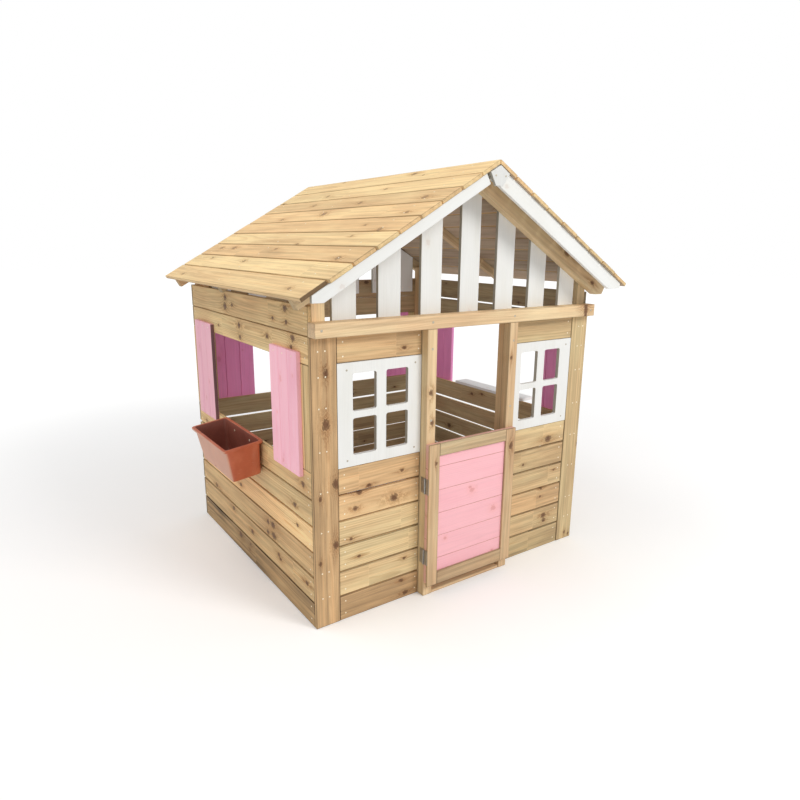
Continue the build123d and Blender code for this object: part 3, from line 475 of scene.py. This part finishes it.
# knots and finger joints that stand in particular places: (node, x, y, z, radius); (node, x, y, z)
KNOTS = [
    ("front_left_lower_planks", -0.257, -0.578, 0.520, 0.0050),
    ("front_left_lower_planks", -0.399, -0.578, 0.493, 0.0060),
    ("front_left_lower_planks", -0.438, -0.578, 0.474, 0.0070),
    ("front_left_lower_planks", -0.292, -0.578, 0.421, 0.0120),
    ("front_left_lower_planks", -0.455, -0.578, 0.418, 0.0075),
    ("front_left_lower_planks", -0.442, -0.578, 0.232, 0.0050),
    ("front_left_lower_planks", -0.256, -0.578, 0.075, 0.0060),
    ("front_left_lower_planks", -0.237, -0.578, 0.019, 0.0080),
    ("front_left_lower_planks", -0.244, -0.578, 0.165, 0.0050),
    ("front_right_lower_planks", 0.512, -0.578, 0.508, 0.0120),
    ("front_right_lower_planks", 0.368, -0.578, 0.416, 0.0050),
    ("front_right_lower_planks", 0.562, -0.578, 0.356, 0.0040),
    ("front_right_lower_planks", 0.486, -0.578, 0.246, 0.0050),
    ("front_right_lower_planks", 0.489, -0.578, 0.282, 0.0045),
    ("front_right_lower_planks", 0.514, -0.578, 0.151, 0.0100),
    ("front_right_lower_planks", 0.520, -0.578, 0.125, 0.0070),
    ("front_corner_boards", -0.532, -0.580, 0.527, 0.0110),
    ("front_corner_boards", -0.535, -0.580, 0.302, 0.0090),
    ("front_corner_boards", -0.592, -0.580, 0.483, 0.0055),
    ("front_corner_boards", -0.596, -0.580, 0.248, 0.0050),
    ("front_corner_boards", 0.663, -0.580, 0.029, 0.0060),
    ("front_corner_boards", 0.689, -0.580, 0.017, 0.0050),
    ("front_corner_boards", -0.562, -0.580, 0.910, 0.0085),
    ("front_corner_boards", -0.565, -0.580, 0.740, 0.0120),
    ("front_corner_boards", 0.704, -0.580, 0.454, 0.0050),
    ("left_wall_lower_planks", -0.616, 0.420, 0.209, 0.0080),
    ("left_wall_lower_planks", -0.616, -0.179, 0.256, 0.0080),
    ("left_wall_lower_planks", -0.616, -0.227, 0.260, 0.0120),
    ("left_wall_lower_planks", -0.616, -0.174, 0.209, 0.0080),
    ("left_wall_lower_planks", -0.616, -0.233, 0.216, 0.0120),
    ("left_wall_lower_planks", -0.616, -0.007, 0.144, 0.0090),
    ("left_wall_lower_planks", -0.616, 0.133, 0.075, 0.0110),
    ("left_wall_lower_planks", -0.616, 0.204, 0.172, 0.0090),
    ("left_wall_lower_planks", -0.616, 0.234, 0.098, 0.0050),
    ("left_wall_lower_planks", -0.616, -0.273, 0.153, 0.0070),
    ("left_wall_lower_planks", -0.616, -0.286, 0.142, 0.0070),
    ("left_wall_lower_planks", -0.616, -0.502, 0.519, 0.0090),
    ("left_wall_lower_planks", -0.616, -0.432, 0.417, 0.0090),
    ("left_wall_lower_planks", -0.616, -0.511, 0.148, 0.0080),
    ("left_wall_lower_planks", -0.616, -0.242, 0.113, 0.0060),
    ("left_wall_upper_planks", -0.616, 0.165, 1.102, 0.0100),
    ("left_wall_upper_planks", -0.616, 0.171, 1.066, 0.0120),
    ("left_wall_upper_planks", -0.616, 0.090, 1.076, 0.0070),
    ("left_wall_upper_planks", -0.616, -0.401, 1.107, 0.0100),
    ("left_wall_upper_planks", -0.616, -0.409, 1.062, 0.0070),
    ("left_wall_upper_planks", -0.616, 0.025, 1.004, 0.0100),
    ("left_wall_upper_planks", -0.616, 0.020, 0.958, 0.0080),
    ("left_wall_upper_planks", -0.616, -0.245, 0.995, 0.0080),
    ("left_wall_upper_planks", -0.616, -0.455, 1.014, 0.0110),
    ("left_wall_upper_planks", -0.616, -0.442, 0.983, 0.0060),
    ("left_wall_upper_planks", -0.616, 0.263, 0.978, 0.0050),
    ("left_wall_upper_planks", -0.616, 0.523, 0.977, 0.0080),
    ("left_wall_upper_planks", -0.616, -0.300, 1.064, 0.0060),
    ("roof_planks_left", -0.238, 0.018, 1.431, 0.0120),
    ("roof_planks_left", -0.266, 0.362, 1.415, 0.0070),
    ("roof_planks_left", -0.115, 0.664, 1.502, 0.0080),
    ("roof_planks_left", -0.163, 0.249, 1.474, 0.0080),
    ("roof_planks_left", -0.087, 0.260, 1.518, 0.0090),
    ("roof_planks_left", -0.173, -0.155, 1.469, 0.0090),
    ("roof_planks_left", -0.171, -0.570, 1.470, 0.0100),
    ("roof_planks_left", -0.261, -0.594, 1.418, 0.0070),
    ("roof_planks_left", -0.560, 0.085, 1.246, 0.0080),
    ("roof_planks_left", -0.477, -0.037, 1.293, 0.0070),
    ("roof_planks_left", -0.482, 0.548, 1.290, 0.0090),
    ("roof_planks_left", -0.479, 0.403, 1.292, 0.0100),
    ("roof_planks_left", -0.669, -0.554, 1.183, 0.0060),
    ("roof_planks_left", -0.079, -0.195, 1.523, 0.0060),
    ("roof_planks_left", -0.513, -0.582, 1.273, 0.0090),
    ("roof_planks_left", -0.330, -0.446, 1.378, 0.0050),
    ("roof_planks_left", -0.443, -0.151, 1.313, 0.0050),
    ("roof_planks_left", 0.053, -0.184, 1.599, 0.0050),
    ("door_posts", -0.160, -0.614, 0.803, 0.0080),
    ("header_beam", 0.648, -0.614, 1.069, 0.0070),
    ("half_door_stiles", -0.146, -0.637, 0.541, 0.0050),
    ("half_door_stiles", 0.230, -0.637, 0.543, 0.0090),
    ("half_door_planks", 0.040, -0.629, 0.394, 0.0080),
    ("half_door_planks", -0.088, -0.629, 0.226, 0.0050),
    ("half_door_planks", 0.029, -0.629, 0.408, 0.0050),
    ("rafters_front", 0.690, -0.601, 1.166, 0.0070),
    ("rafters_front", 0.521, -0.601, 1.288, 0.0090),
]
JOINTS = [
    ("left_wall_upper_planks", -0.616, -0.262, 1.071),
    ("front_left_lower_planks", -0.440, -0.578, 0.528),
    ("front_left_lower_planks", -0.260, -0.578, 0.365),
    ("front_right_lower_planks", 0.480, -0.578, 0.551),
    ("front_right_lower_planks", 0.527, -0.578, 0.351),
    ("front_right_lower_planks", 0.460, -0.578, 0.259),
    ("front_right_lower_planks", 0.451, -0.578, 0.143),
    ("front_right_lower_planks", 0.426, -0.578, 0.039),
    ("front_right_lower_planks", 0.354, -0.578, 0.441),
    ("front_left_lower_planks", -0.400, -0.578, 0.103),
    ("roof_planks_left", -0.606, -0.503, 1.219),
    ("roof_planks_left", -0.091, 0.102, 1.516),
]
# boards whose tone and warmth are set: (node, which one from the lowest or leftmost): (tone, warmth)
# some entries paint light and shade: the corner posts, the upper left wall planks and the rightmost front picket are
# lightened against the shade they stand in, and the apex plate is darkened to a shaded look
TONES_AND_LIGHT = {
    ("front_left_lower_planks", 0): (-0.75, -1.2), ("front_left_lower_planks", 1): (0.3, 0.4),
    ("front_left_lower_planks", 2): (0.45, 0.9), ("front_left_lower_planks", 3): (0.55, 0.6),
    ("front_left_lower_planks", 4): (0.6, -0.6), ("front_left_lower_planks", 5): (-0.15, -1.2),
    ("front_right_lower_planks", 0): (-0.65, 0.6), ("front_right_lower_planks", 1): (-0.28, 0.0),
    ("front_right_lower_planks", 2): (-0.3, -0.8), ("front_right_lower_planks", 3): (-0.25, 0.0),
    ("front_right_lower_planks", 4): (-0.5, 0.0), ("front_right_lower_planks", 5): (0.3, 0.6),
    ("front_corner_boards", 0): (-0.7, -1.6), ("front_corner_boards", 1): (-0.27, 0.7),
    ("front_top_planks", 0): (-0.25, -0.6), ("front_top_planks", 1): (-0.35, 0.4),
    ("left_wall_lower_planks", 0): (-1.2, -1.2), ("left_wall_lower_planks", 1): (-0.1, -0.5),
    ("left_wall_lower_planks", 2): (0.1, -0.6), ("left_wall_lower_planks", 3): (1.1, -0.9),
    ("left_wall_lower_planks", 4): (0.5, 0.3), ("left_wall_lower_planks", 5): (0.6, -0.2),
    ("left_wall_upper_planks", 0): (1.0, 0.2), ("left_wall_upper_planks", 1): (0.4, -0.2),
    ("left_wall_end_boards", 0): (0.55, 0.2), ("left_wall_end_boards", 1): (0.9, 0.1),
    ("corner_posts", 0): (1.2, 0.2), ("corner_posts", 1): (1.0, 0.2),
    ("door_posts", 0): (0.4, 0.4), ("door_posts", 1): (-0.25, -0.3),
    ("half_door_stiles", 0): (-0.4, -0.2), ("half_door_stiles", 1): (-0.6, -0.6),
    ("half_door_rails", 0): (-1.0, -0.3), ("half_door_rails", 1): (-0.75, 0.5),
    ("header_beam", 0): (0.3, 0.4),
    ("roof_planks_left", 0): (-0.1, 0.0), ("roof_planks_left", 1): (0.55, 1.1), ("roof_planks_left", 2): (-0.15, -0.8),
    ("roof_planks_left", 3): (0.4, 0.5), ("roof_planks_left", 4): (-0.1, -0.8), ("roof_planks_left", 5): (0.15, -0.3),
    ("roof_planks_left", 6): (-0.2, -0.3), ("roof_planks_left", 7): (0.4, 0.5), ("roof_planks_left", 8): (0.4, 0.6),
    ("apex_plate", 0): (-2.6, 0.0), ("front_gable_pickets", 6): (3.0, 0.0),
    ("right_wall_lower_planks", 0): (-0.5, 0.3), ("right_wall_lower_planks", 1): (-0.35, 0.0), ("right_wall_lower_planks", 2): (-0.15, 0.4),
    ("right_wall_lower_planks", 4): (0.3, -0.2), ("right_wall_lower_planks", 5): (0.7, 0.2),
    ("back_wall_lower_planks", 0): (-0.5, 0.2), ("back_wall_lower_planks", 1): (-0.35, -0.3), ("back_wall_lower_planks", 2): (-0.15, 0.2),
    ("back_wall_lower_planks", 4): (0.1, 0.6), ("back_wall_lower_planks", 5): (0.5, 0.9),
    ("left_shutter_front", 0): (2.6, 0.0), ("left_shutter_front", 1): (3.0, 0.0), ("left_shutter_front", 2): (3.2, 0.0),
}
# boards whose end faces get painted shade, dark brown: (node, which one): how much
SHADED_ENDS = {("roof_planks_left", 0): 1.0, ("left_shutter_rear", 0): 1.0}


def attributes(me, data):
    for name, arr in data.items():
        at = me.attributes.new(name, "FLOAT_VECTOR", "POINT")
        at.data.foreach_set("vector", np.asarray(arr, np.float32).ravel())


def build_wood(node, spec):
    verts, faces, smooth = [], [], []
    data = {k: [] for k in ("bc", "bd", "pith", "fj", "hb", "k1", "k2", "k3", "k4", "k5", "k6")}
    for i, b in enumerate(islands(node)):
        rnd = random.Random(f"{node}/{i}")
        c = centre(b)
        U, V, W = axes(c, spec["dir"], spec["slope"])
        bmesh.ops.dissolve_limit(b, angle_limit=math.radians(0.6), verts=b.verts, edges=b.edges)
        b.normal_update()
        size = []
        for A in (U, V, W):
            t = [v.co.dot(A) for v in b.verts]
            size.append(max(t) - min(t))
        if spec["dir"] in "XYZ" and not spec["slope"] and size[1] < size[2]:
            V, W = W, V
            size[1], size[2] = size[2], size[1]
        mid = Vector()
        for A in (U, V, W):
            t = [v.co.dot(A) for v in b.verts]
            mid += A * ((max(t) + min(t)) / 2)
        hu, hv, hw = (s / 2 for s in size)
        edges = [e for e in b.edges if len(e.link_faces) == 2 and e.calc_face_angle(0) > math.radians(22)]
        bev = min(spec["bevel"], hw * 0.3) * rnd.uniform(0.85, 1.15)
        bmesh.ops.bevel(b, geom=edges, offset=bev, offset_type="OFFSET", segments=3, profile=0.5, affect="EDGES",
                        clamp_overlap=True)
        if spec["warp"] > 0:
            step = 0.075
            cuts = int(2 * hu / step)
            for j in range(1, cuts):
                p = mid + U * (-hu + 2 * hu * j / cuts)
                bmesh.ops.bisect_plane(b, geom=list(b.verts) + list(b.edges) + list(b.faces), dist=1e-6,
                                       plane_co=p, plane_no=U)
        # knots and joints
        kn = []
        for nd, x, y, z, kr in KNOTS:
            if nd == node:
                p = Vector((x - 0.0037, y, z)) - mid
                if abs(p.dot(U)) <= hu and abs(p.dot(V)) <= hv + 0.003 and abs(p.dot(W)) <= hw + 0.02:
                    kn.append((p.dot(U), p.dot(V), kr))
        given = len(kn)
        want = spec["knots"] * 2 * hu
        want = int(want) + (1 if rnd.random() < want - int(want) else 0)
        for _ in range(max(0, want - given)):
            kn.append((rnd.uniform(-hu * 0.95, hu * 0.95), rnd.uniform(-hv * 0.8, hv * 0.8),
                       min(rnd.choice((0.003, 0.004, 0.005, 0.006, 0.0085)) * rnd.uniform(0.8, 1.3), hv * 0.4)))
        kn = (kn + [(99.0, 0.0, 0.0)] * 6)[:6]
        fj = [Vector((x - 0.0037, y, z)).dot(U) - mid.dot(U) for nd, x, y, z in JOINTS
              if nd == node and abs((Vector((x, y, z)) - mid).dot(V)) <= hv and abs((Vector((x, y, z)) - mid).dot(W)) <= hw + 0.02]
        if not fj and rnd.random() < spec["joint"] and hu > 0.12:
            fj = [rnd.uniform(-hu * 0.8, hu * 0.8)]
            if rnd.random() < 0.45 and hu > 0.3:
                fj.append(rnd.uniform(-hu * 0.9, hu * 0.9))
        fj = sorted(fj)[:2] + [99.0] * (2 - len(fj))
        tone = rnd.uniform(-1, 1) * 0.5 + spec["tone"]
        seed = rnd.uniform(0, 400)
        pith = (rnd.uniform(-1.2, 1.2) * hv, (1 if rnd.random() < 0.5 else -1) * (hw + rnd.uniform(0.004, 0.055)),
                rnd.uniform(0.0042, 0.0085))
        hue = rnd.uniform(-1, 1)
        if (node, i) in TONES_AND_LIGHT:
            tone, hue = TONES_AND_LIGHT[(node, i)]
        wa = spec["warp"] * 0.00022
        base = len(verts)
        b.verts.index_update()
        for v in b.verts:
            p = v.co - mid
            pu, pv, pw = p.dot(U), p.dot(V), p.dot(W)
            data["bc"].append((pu, pv, pw))
            q = v.co
            if spec["warp"] > 0:
                s = pu * 6.0 + seed
                q = q + W * (wa * noise.noise(Vector((s, seed, 0.3)))) + V * (wa * 1.6 * noise.noise(Vector((s * 1.7, 3.1, seed + (0.0 if pv > 0 else 9.0)))))
                if abs(abs(pu) - hu) < 0.004:
                    q = q + U * (math.copysign(1, -pu) * 0.0007 * abs(noise.noise(Vector((pv * 40 + seed, pw * 30, 1.0 if pu > 0 else 5.0)))))
            verts.append(tuple(q))
        nv = len(b.verts)
        data["bd"] += [(tone, seed, hue)] * nv
        data["pith"] += [pith] * nv
        data["fj"] += [(fj[0], fj[1], SHADED_ENDS.get((node, i), 0.0))] * nv
        data["hb"] += [(hu, hv, hw)] * nv
        for k, name in enumerate(("k1", "k2", "k3", "k4", "k5", "k6")):
            data[name] += [kn[k]] * nv
        for f in b.faces:
            faces.append([base + v.index for v in f.verts])
        b.free()
    name = node + "_look"
    me = bpy.data.meshes.new(name)
    me.from_pydata(verts, [], faces)
    me.validate()
    attributes(me, data)
    for p in me.polygons:
        p.use_smooth = True
    me.set_sharp_from_angle(angle=math.radians(50))
    ob = bpy.data.objects.new(name, me)
    bpy.context.scene.collection.objects.link(ob)
    me.materials.append(M[spec["mat"]])
    wn = ob.modifiers.new("normals", "WEIGHTED_NORMAL")
    wn.keep_sharp = True
    wn.weight = 90
    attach(ob, spec["body"])
    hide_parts(node)
    return ob


for nm in sorted(WOOD):
    build_wood(nm, WOOD[nm])


# =============================================================== fasteners
def fasteners(node, body, screw, mat="nail"):
    """Nails with slightly domed heads, or screws with a crossed recess, on the axes of the CAD fasteners."""
    verts, faces = [], []
    seg = 12 if screw else 10
    for b in islands(node):
        co = np.array([v.co[:] for v in b.verts], float)
        b.free()
        c = co.mean(0)
        val, vecs = np.linalg.eigh(np.cov((co - c).T))
        d = vecs[:, -1]
        t = (co - c) @ d
        rad = np.linalg.norm(co - c - np.outer(t, d), axis=1)
        if rad[t > (t.max() + t.min()) / 2].max() < rad[t < (t.max() + t.min()) / 2].max():
            d, t = -d, -t
        # recentre on the axis with the head's own ring
        head = rad > 0.8 * rad.max()
        cc = co[head].mean(0)
        t = (co - cc) @ d
        rad = np.linalg.norm(co - cc - np.outer(t, d), axis=1)
        hr = rad.max()
        top, bot = t.max(), t.min()
        under = t[rad > 0.8 * hr].min()
        sh = rad[t < (bot + under) / 2].max() if (t < (bot + under) / 2).any() else hr * 0.4
        ht = top - under
        prof = [(0.0, top), (0.30 * hr, top - 0.02 * ht), (0.62 * hr, top - 0.10 * ht), (0.86 * hr, top - 0.28 * ht),
                (hr, top - 0.62 * ht), (hr * 0.985, under), (sh, under - 0.1 * ht), (sh, bot + 2.2 * sh), (0.35 * sh, bot + 0.4 * sh), (0.0, bot)]
        a = Vector(d)
        s1 = a.orthogonal().normalized()
        s2 = a.cross(s1)
        o = Vector(cc)
        base = len(verts)
        verts.append(tuple(o + a * prof[0][1] - (a * (0.55 * ht) if screw else Vector())))
        for k, (r, z) in enumerate(prof[1:-1]):
            for j in range(seg):
                th = 2 * math.pi * j / seg
                dz = 0.0
                if screw and k == 0:
                    dz = -0.6 * ht
                elif screw and k == 1:
                    dz = -0.55 * ht if j % 3 == 0 else 0.0
                verts.append(tuple(o + a * (z + dz) + (s1 * math.cos(th) + s2 * math.sin(th)) * r))
        verts.append(tuple(o + a * prof[-1][1]))
        last = len(verts) - 1
        rings = len(prof) - 2
        for j in range(seg):
            j2 = (j + 1) % seg
            faces.append((base, base + 1 + j, base + 1 + j2))
            for k in range(rings - 1):
                p0 = base + 1 + k * seg
                faces.append((p0 + j, p0 + seg + j, p0 + seg + j2, p0 + j2))
            p0 = base + 1 + (rings - 1) * seg
            faces.append((p0 + j, last, p0 + j2))
    name = node + "_look"
    me = bpy.data.meshes.new(name)
    me.from_pydata(verts, [], faces)
    me.validate()
    for p in me.polygons:
        p.use_smooth = True
    me.set_sharp_from_angle(angle=math.radians(46))
    ob = bpy.data.objects.new(name, me)
    bpy.context.scene.collection.objects.link(ob)
    me.materials.append(M[mat])
    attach(ob, body)
    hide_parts(node)
    return ob


for nm in "left_wall_nails right_wall_nails back_wall_nails front_wall_nails roof_nails shutter_nails picket_nails".split():
    fasteners(nm, "house", False)
fasteners("half_door_nails", "half_door", False)
for nm in "window_frame_screws apex_plate_screws".split():
    fasteners(nm, "house", True, "screw")
fasteners("planter_screws", "house", True)
fasteners("frame_screws", "house", True, "screw")
fasteners("hinge_post_screws", "house", True, "steel")
fasteners("hinge_door_screws", "half_door", True, "steel")


# ================================================================= planter
def rounded(x0, x1, y0, y1, r, n=6):
    pts = []
    for cx, cy, a0 in ((x1 - r, y1 - r, 0), (x0 + r, y1 - r, 90), (x0 + r, y0 + r, 180), (x1 - r, y0 + r, 270)):
        for k in range(n + 1):
            a = math.radians(a0 + 90 * k / n)
            pts.append((cx + r * math.cos(a), cy + r * math.sin(a)))
    return pts


def densify(pts, step=0.03):
    out = []
    for i, p in enumerate(pts):
        q = pts[(i + 1) % len(pts)]
        d = math.dist(p, q)
        k = max(1, int(d / step))
        for j in range(k):
            out.append((p[0] + (q[0] - p[0]) * j / k, p[1] + (q[1] - p[1]) * j / k))
    return out


def planter():
    lo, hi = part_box("planter")
    # upright sizes; the trough then leans about the inner edge of its rim
    lean = math.radians(7.5)
    x0 = lo[0] + 0.158 * math.cos(lean) - 0.158
    x1, y0, y1, z0, z1 = x0 + 0.158, lo[1], hi[1], hi[2] - 0.140, hi[2]
    # (z, inset x left, inset x right, inset y, corner radius), outside from the foot up, over the rim and down inside
    xb0, xb1, yb = 0.022, 0.022, 0.028      # body inset at the foot
    xt, yt = 0.0105, 0.0105                 # body inset under the rim
    H = z1 - z0

    def body(t, extra=0.0):
        f = t
        return (xb0 + (xt - xb0) * f + extra, xb1 + (xt - xb1) * f + extra, yb + (yt - yb) * f + extra, 0.010 + 0.002 * f)
    prof = []
    prof.append((z0 + 0.0030, *body(0.0, 0.0100)))      # recessed foot, inside
    prof.append((z0 + 0.0004, *body(0.0, 0.0085)))
    prof.append((z0, *body(0.0, 0.0070)))
    prof.append((z0, *body(0.0, 0.0035)))
    prof.append((z0 + 0.0010, *body(0.0, 0.0012)))
    prof.append((z0 + 0.0030, *body(0.01)))
    for t in (0.18, 0.36, 0.54, 0.72):
        prof.append((z0 + H * t, *body(t)))
    prof.append((z1 - 0.0135, *body(0.90)))
    prof.append((z1 - 0.0115, *body(0.915, -0.0006)))
    prof.append((z1 - 0.0100, 0.0030, 0.0030, 0.0030, 0.014))
    prof.append((z1 - 0.0095, 0.0008, 0.0008, 0.0008, 0.015))
    prof.append((z1 - 0.0080, 0.0, 0.0, 0.0, 0.015))
    prof.append((z1 - 0.0028, 0.0, 0.0, 0.0, 0.015))
    prof.append((z1 - 0.0008, 0.0007, 0.0007, 0.0007, 0.015))
    prof.append((z1, 0.0026, 0.0026, 0.0026, 0.014))
    inner_from = len(prof) + 1
    prof.append((z1, 0.0098, 0.0098, 0.0098, 0.011))
    prof.append((z1 - 0.0010, 0.0122, 0.0122, 0.0122, 0.010))
    prof.append((z1 - 0.0040, 0.0136, 0.0136, 0.0136, 0.009))
    for t in (0.78, 0.6, 0.4, 0.2):
        prof.append((z0 + H * t, *body(t, 0.003)))
    prof.append((z0 + 0.0090, *body(0.05, 0.0034)))
    prof.append((z0 + 0.0055, *body(0.03, 0.0050)))
    prof.append((z0 + 0.0036, *body(0.0, 0.0090)))
    verts, faces, rings = [], [], []
    for z, il, ir, iy, r in prof:
        pts = densify_ref(rounded(x0 + il, x1 - ir, y0 + iy, y1 - iy, r))
        rings.append(list(range(len(verts), len(verts) + len(pts))))
        for x, y in pts:
            # a slight belly of the long sides, most at mid height
            h = min(1.0, max(0.0, (z - z0) / H))
            s = math.sin(math.pi * min(1.0, max(0.0, (y - y0) / (y1 - y0))))
            belly = 0.0012 * math.sin(math.pi * h) * s
            verts.append((x + (-belly if x < (x0 + x1) / 2 else 0.0), y, z))
    n = len(rings[0])
    slots = []
    for q, (a, b) in enumerate(zip(rings, rings[1:])):
        for j in range(n):
            k = (j + 1) % n
            faces.append((a[j], a[k], b[k], b[j]))
            slots.append(1 if q >= inner_from else 0)
    faces.append(tuple(rings[-1]))
    faces.append(tuple(reversed(rings[0])))
    slots += [1, 0]
    me = bpy.data.meshes.new("planter_look")
    me.from_pydata(verts, [], faces)
    me.materials.append(M["pot"])
    # the inside of the trough takes the darker copy of the terracotta: painted shade
    me.materials.append(M["pot_in_shaded"])
    me.polygons.foreach_set("material_index", slots)
    bm = bmesh.new()
    bm.from_mesh(me)
    bmesh.ops.recalc_face_normals(bm, faces=bm.faces)
    bm.to_mesh(me)
    bm.free()
    ob = bpy.data.objects.new("planter_look", me)
    bpy.context.scene.collection.objects.link(ob)
    # drain hole low in the outer side
    cm = bpy.data.meshes.new("drill")
    bm = bmesh.new()
    bmesh.ops.create_cone(bm, cap_ends=True, segments=20, radius1=0.004, radius2=0.004, depth=0.03,
                          matrix=Matrix.Translation((x1 - 0.137, 0.033, z0 + 0.012)) @ Matrix.Rotation(math.pi / 2, 4, "Y"))
    bm.to_mesh(cm)
    bm.free()
    drill = bpy.data.objects.new("drill", cm)
    bpy.context.scene.collection.objects.link(drill)
    mod = ob.modifiers.new("hole", "BOOLEAN")
    mod.operation, mod.solver, mod.object = "DIFFERENCE", "EXACT", drill
    cut = bpy.data.meshes.new_from_object(ob.evaluated_get(bpy.context.evaluated_depsgraph_get()))
    ob.modifiers.clear()
    bpy.data.objects.remove(drill)
    if len(cut.polygons) > len(me.polygons):
        ob.data = me = cut
    for v in me.vertices:
        dx, dz = v.co.x - x1, v.co.z - z1
        v.co.x = x1 + dx * math.cos(lean) - dz * math.sin(lean)
        v.co.z = z1 + dx * math.sin(lean) + dz * math.cos(lean)
    for p in me.polygons:
        p.use_smooth = True
    me.set_sharp_from_angle(angle=math.radians(40))
    print("planter faces", len(me.polygons), "materials", [m.name for m in me.materials])
    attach(ob, "house")
    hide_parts("planter")
    return ob


def densify_ref(pts):
    """The same number of points round every ring: 6 per corner arc, 14 along each long side, 6 along each short side."""
    out = []
    m = len(pts) // 4
    for c in range(4):
        arc = pts[c * m:(c + 1) * m]
        out += arc
        p, q = arc[-1], pts[((c + 1) * m) % len(pts)]
        k = 6 if c in (0, 2) else 14
        for j in range(1, k):
            out.append((p[0] + (q[0] - p[0]) * j / k, p[1] + (q[1] - p[1]) * j / k))
    return out


planter()

# ================================================================== hinges
for nm in ("hinge_fixed_leaves", "hinge_door_leaves", "hinge_pins"):
    o = NODES[nm]
    o.data.materials.clear()
    o.data.materials.append(M["steel"])

# ===================================================== floor, light, camera
def floor():
    me = bpy.data.meshes.new("floor")
    R, k = 30.0, 64
    vs = [(R * math.cos(2 * math.pi * i / k), R * math.sin(2 * math.pi * i / k), -0.0005) for i in range(k)]
    me.from_pydata(vs, [], [tuple(range(k))])
    ob = bpy.data.objects.new("floor", me)
    bpy.context.scene.collection.objects.link(ob)
    n = Net("floor_look")
    p = n.coords()
    s = n.noise(p, 2.0, 3.0, 0.5)
    dif = n.t.nodes.new("ShaderNodeBsdfDiffuse")
    n.put(dif.inputs["Color"], n.scale_col((0.95, 0.95, 0.95), n.muladd(s, 0.02, 0.99)))
    em = n.t.nodes.new("ShaderNodeEmission")
    em.inputs[0].default_value = (1, 1, 1, 1)
    mx = n.t.nodes.new("ShaderNodeMixShader")
    px, py, pz = n.sep(p)
    far = n.smooth(n.math("SQRT", n.add(n.mul(px, px), n.mul(py, py))), 1.4, 4.5)
    n.put(mx.inputs[0], far)
    n.t.links.new(dif.outputs[0], mx.inputs[1])
    n.t.links.new(em.outputs[0], mx.inputs[2])
    # a touch of glow seen by the camera only keeps the sweep pale; what lights the object stays lower
    lp = n.t.nodes.new("ShaderNodeLightPath")
    n.put(em.inputs["Strength"], n.muladd(lp.outputs["Is Camera Ray"], 0.28, 0.72))
    glow = n.t.nodes.new("ShaderNodeEmission")
    n.put(glow.inputs["Strength"], n.mul(lp.outputs["Is Camera Ray"], 0.10))
    ad = n.t.nodes.new("ShaderNodeAddShader")
    n.t.links.new(mx.outputs[0], ad.inputs[0])
    n.t.links.new(glow.outputs[0], ad.inputs[1])
    mo = n.t.nodes.new("ShaderNodeOutputMaterial")
    n.t.links.new(ad.outputs[0], mo.inputs[0])
    me.materials.append(n.mat)


floor()

scene = bpy.context.scene
world = bpy.data.worlds.new("studio")
scene.world = world
world.use_nodes = True
wt = world.node_tree
wt.nodes.clear()
wo = wt.nodes.new("ShaderNodeOutputWorld")
mixs = wt.nodes.new("ShaderNodeMixShader")
bg1, bg2 = wt.nodes.new("ShaderNodeBackground"), wt.nodes.new("ShaderNodeBackground")
lp = wt.nodes.new("ShaderNodeLightPath")
bg1.inputs[0].default_value = (1.0, 1.0, 1.0, 1)
bg1.inputs[1].default_value = 0.63
bg2.inputs[0].default_value = (1, 1, 1, 1)
bg2.inputs[1].default_value = 1.0
wt.links.new(lp.outputs["Is Camera Ray"], mixs.inputs[0])
wt.links.new(bg1.outputs[0], mixs.inputs[1])
wt.links.new(bg2.outputs[0], mixs.inputs[2])
wt.links.new(mixs.outputs[0], wo.inputs[0])


def area(name, at, to, size, power, colour=(1, 1, 1)):
    ld = bpy.data.lights.new(name, "AREA")
    ld.shape, ld.size, ld.energy, ld.color = "DISK", size, power, colour
    lo = bpy.data.objects.new(name, ld)
    scene.collection.objects.link(lo)
    lo.location = at
    lo.rotation_mode = "QUATERNION"
    lo.rotation_quaternion = (Vector(to) - Vector(at)).to_track_quat("-Z", "Y")
    lo.visible_camera = False
    return lo


area("key", (1.7, -5.0, 4.4), (0, 0, 0.8), 2.4, 170.0, (1.0, 0.985, 0.96))
area("top", (-2.6, 0.6, 5.2), (0, 0, 1.2), 3.2, 62.0, (1.0, 0.99, 0.97))

area("fill", (-0.15, -0.15, 0.98), (0.7, 0.6, 0.80), 0.7, 1.6, (0.92, 0.95, 1.0))

cam = bpy.data.cameras.new("camera")
co = bpy.data.objects.new("camera", cam)
scene.collection.objects.link(co)
az, pt, rl = 0.6097, -0.2445, 0.0102
fwd = Vector((math.sin(az) * math.cos(pt), math.cos(az) * math.cos(pt), math.sin(pt)))
right = Vector((math.cos(az), -math.sin(az), 0))
up = right.cross(fwd)
r2 = right * math.cos(rl) + up * math.sin(rl)
u2 = -right * math.sin(rl) + up * math.cos(rl)
mw = Matrix.Identity(4)
for i in range(3):
    mw[i][0], mw[i][1], mw[i][2] = r2[i], u2[i], -fwd[i]
mw[0][3], mw[1][3], mw[2][3] = -1.49946, -2.33354, 1.31836
co.matrix_world = mw
cam.sensor_width = 36.0
cam.lens = 28.232
cam.clip_start, cam.clip_end = 0.05, 100
scene.camera = co

scene.view_settings.view_transform = "Standard"
scene.view_settings.look = "None"
scene.cycles.use_denoising = True
scene.cycles.max_bounces = 8
scene.cycles.diffuse_bounces = 4
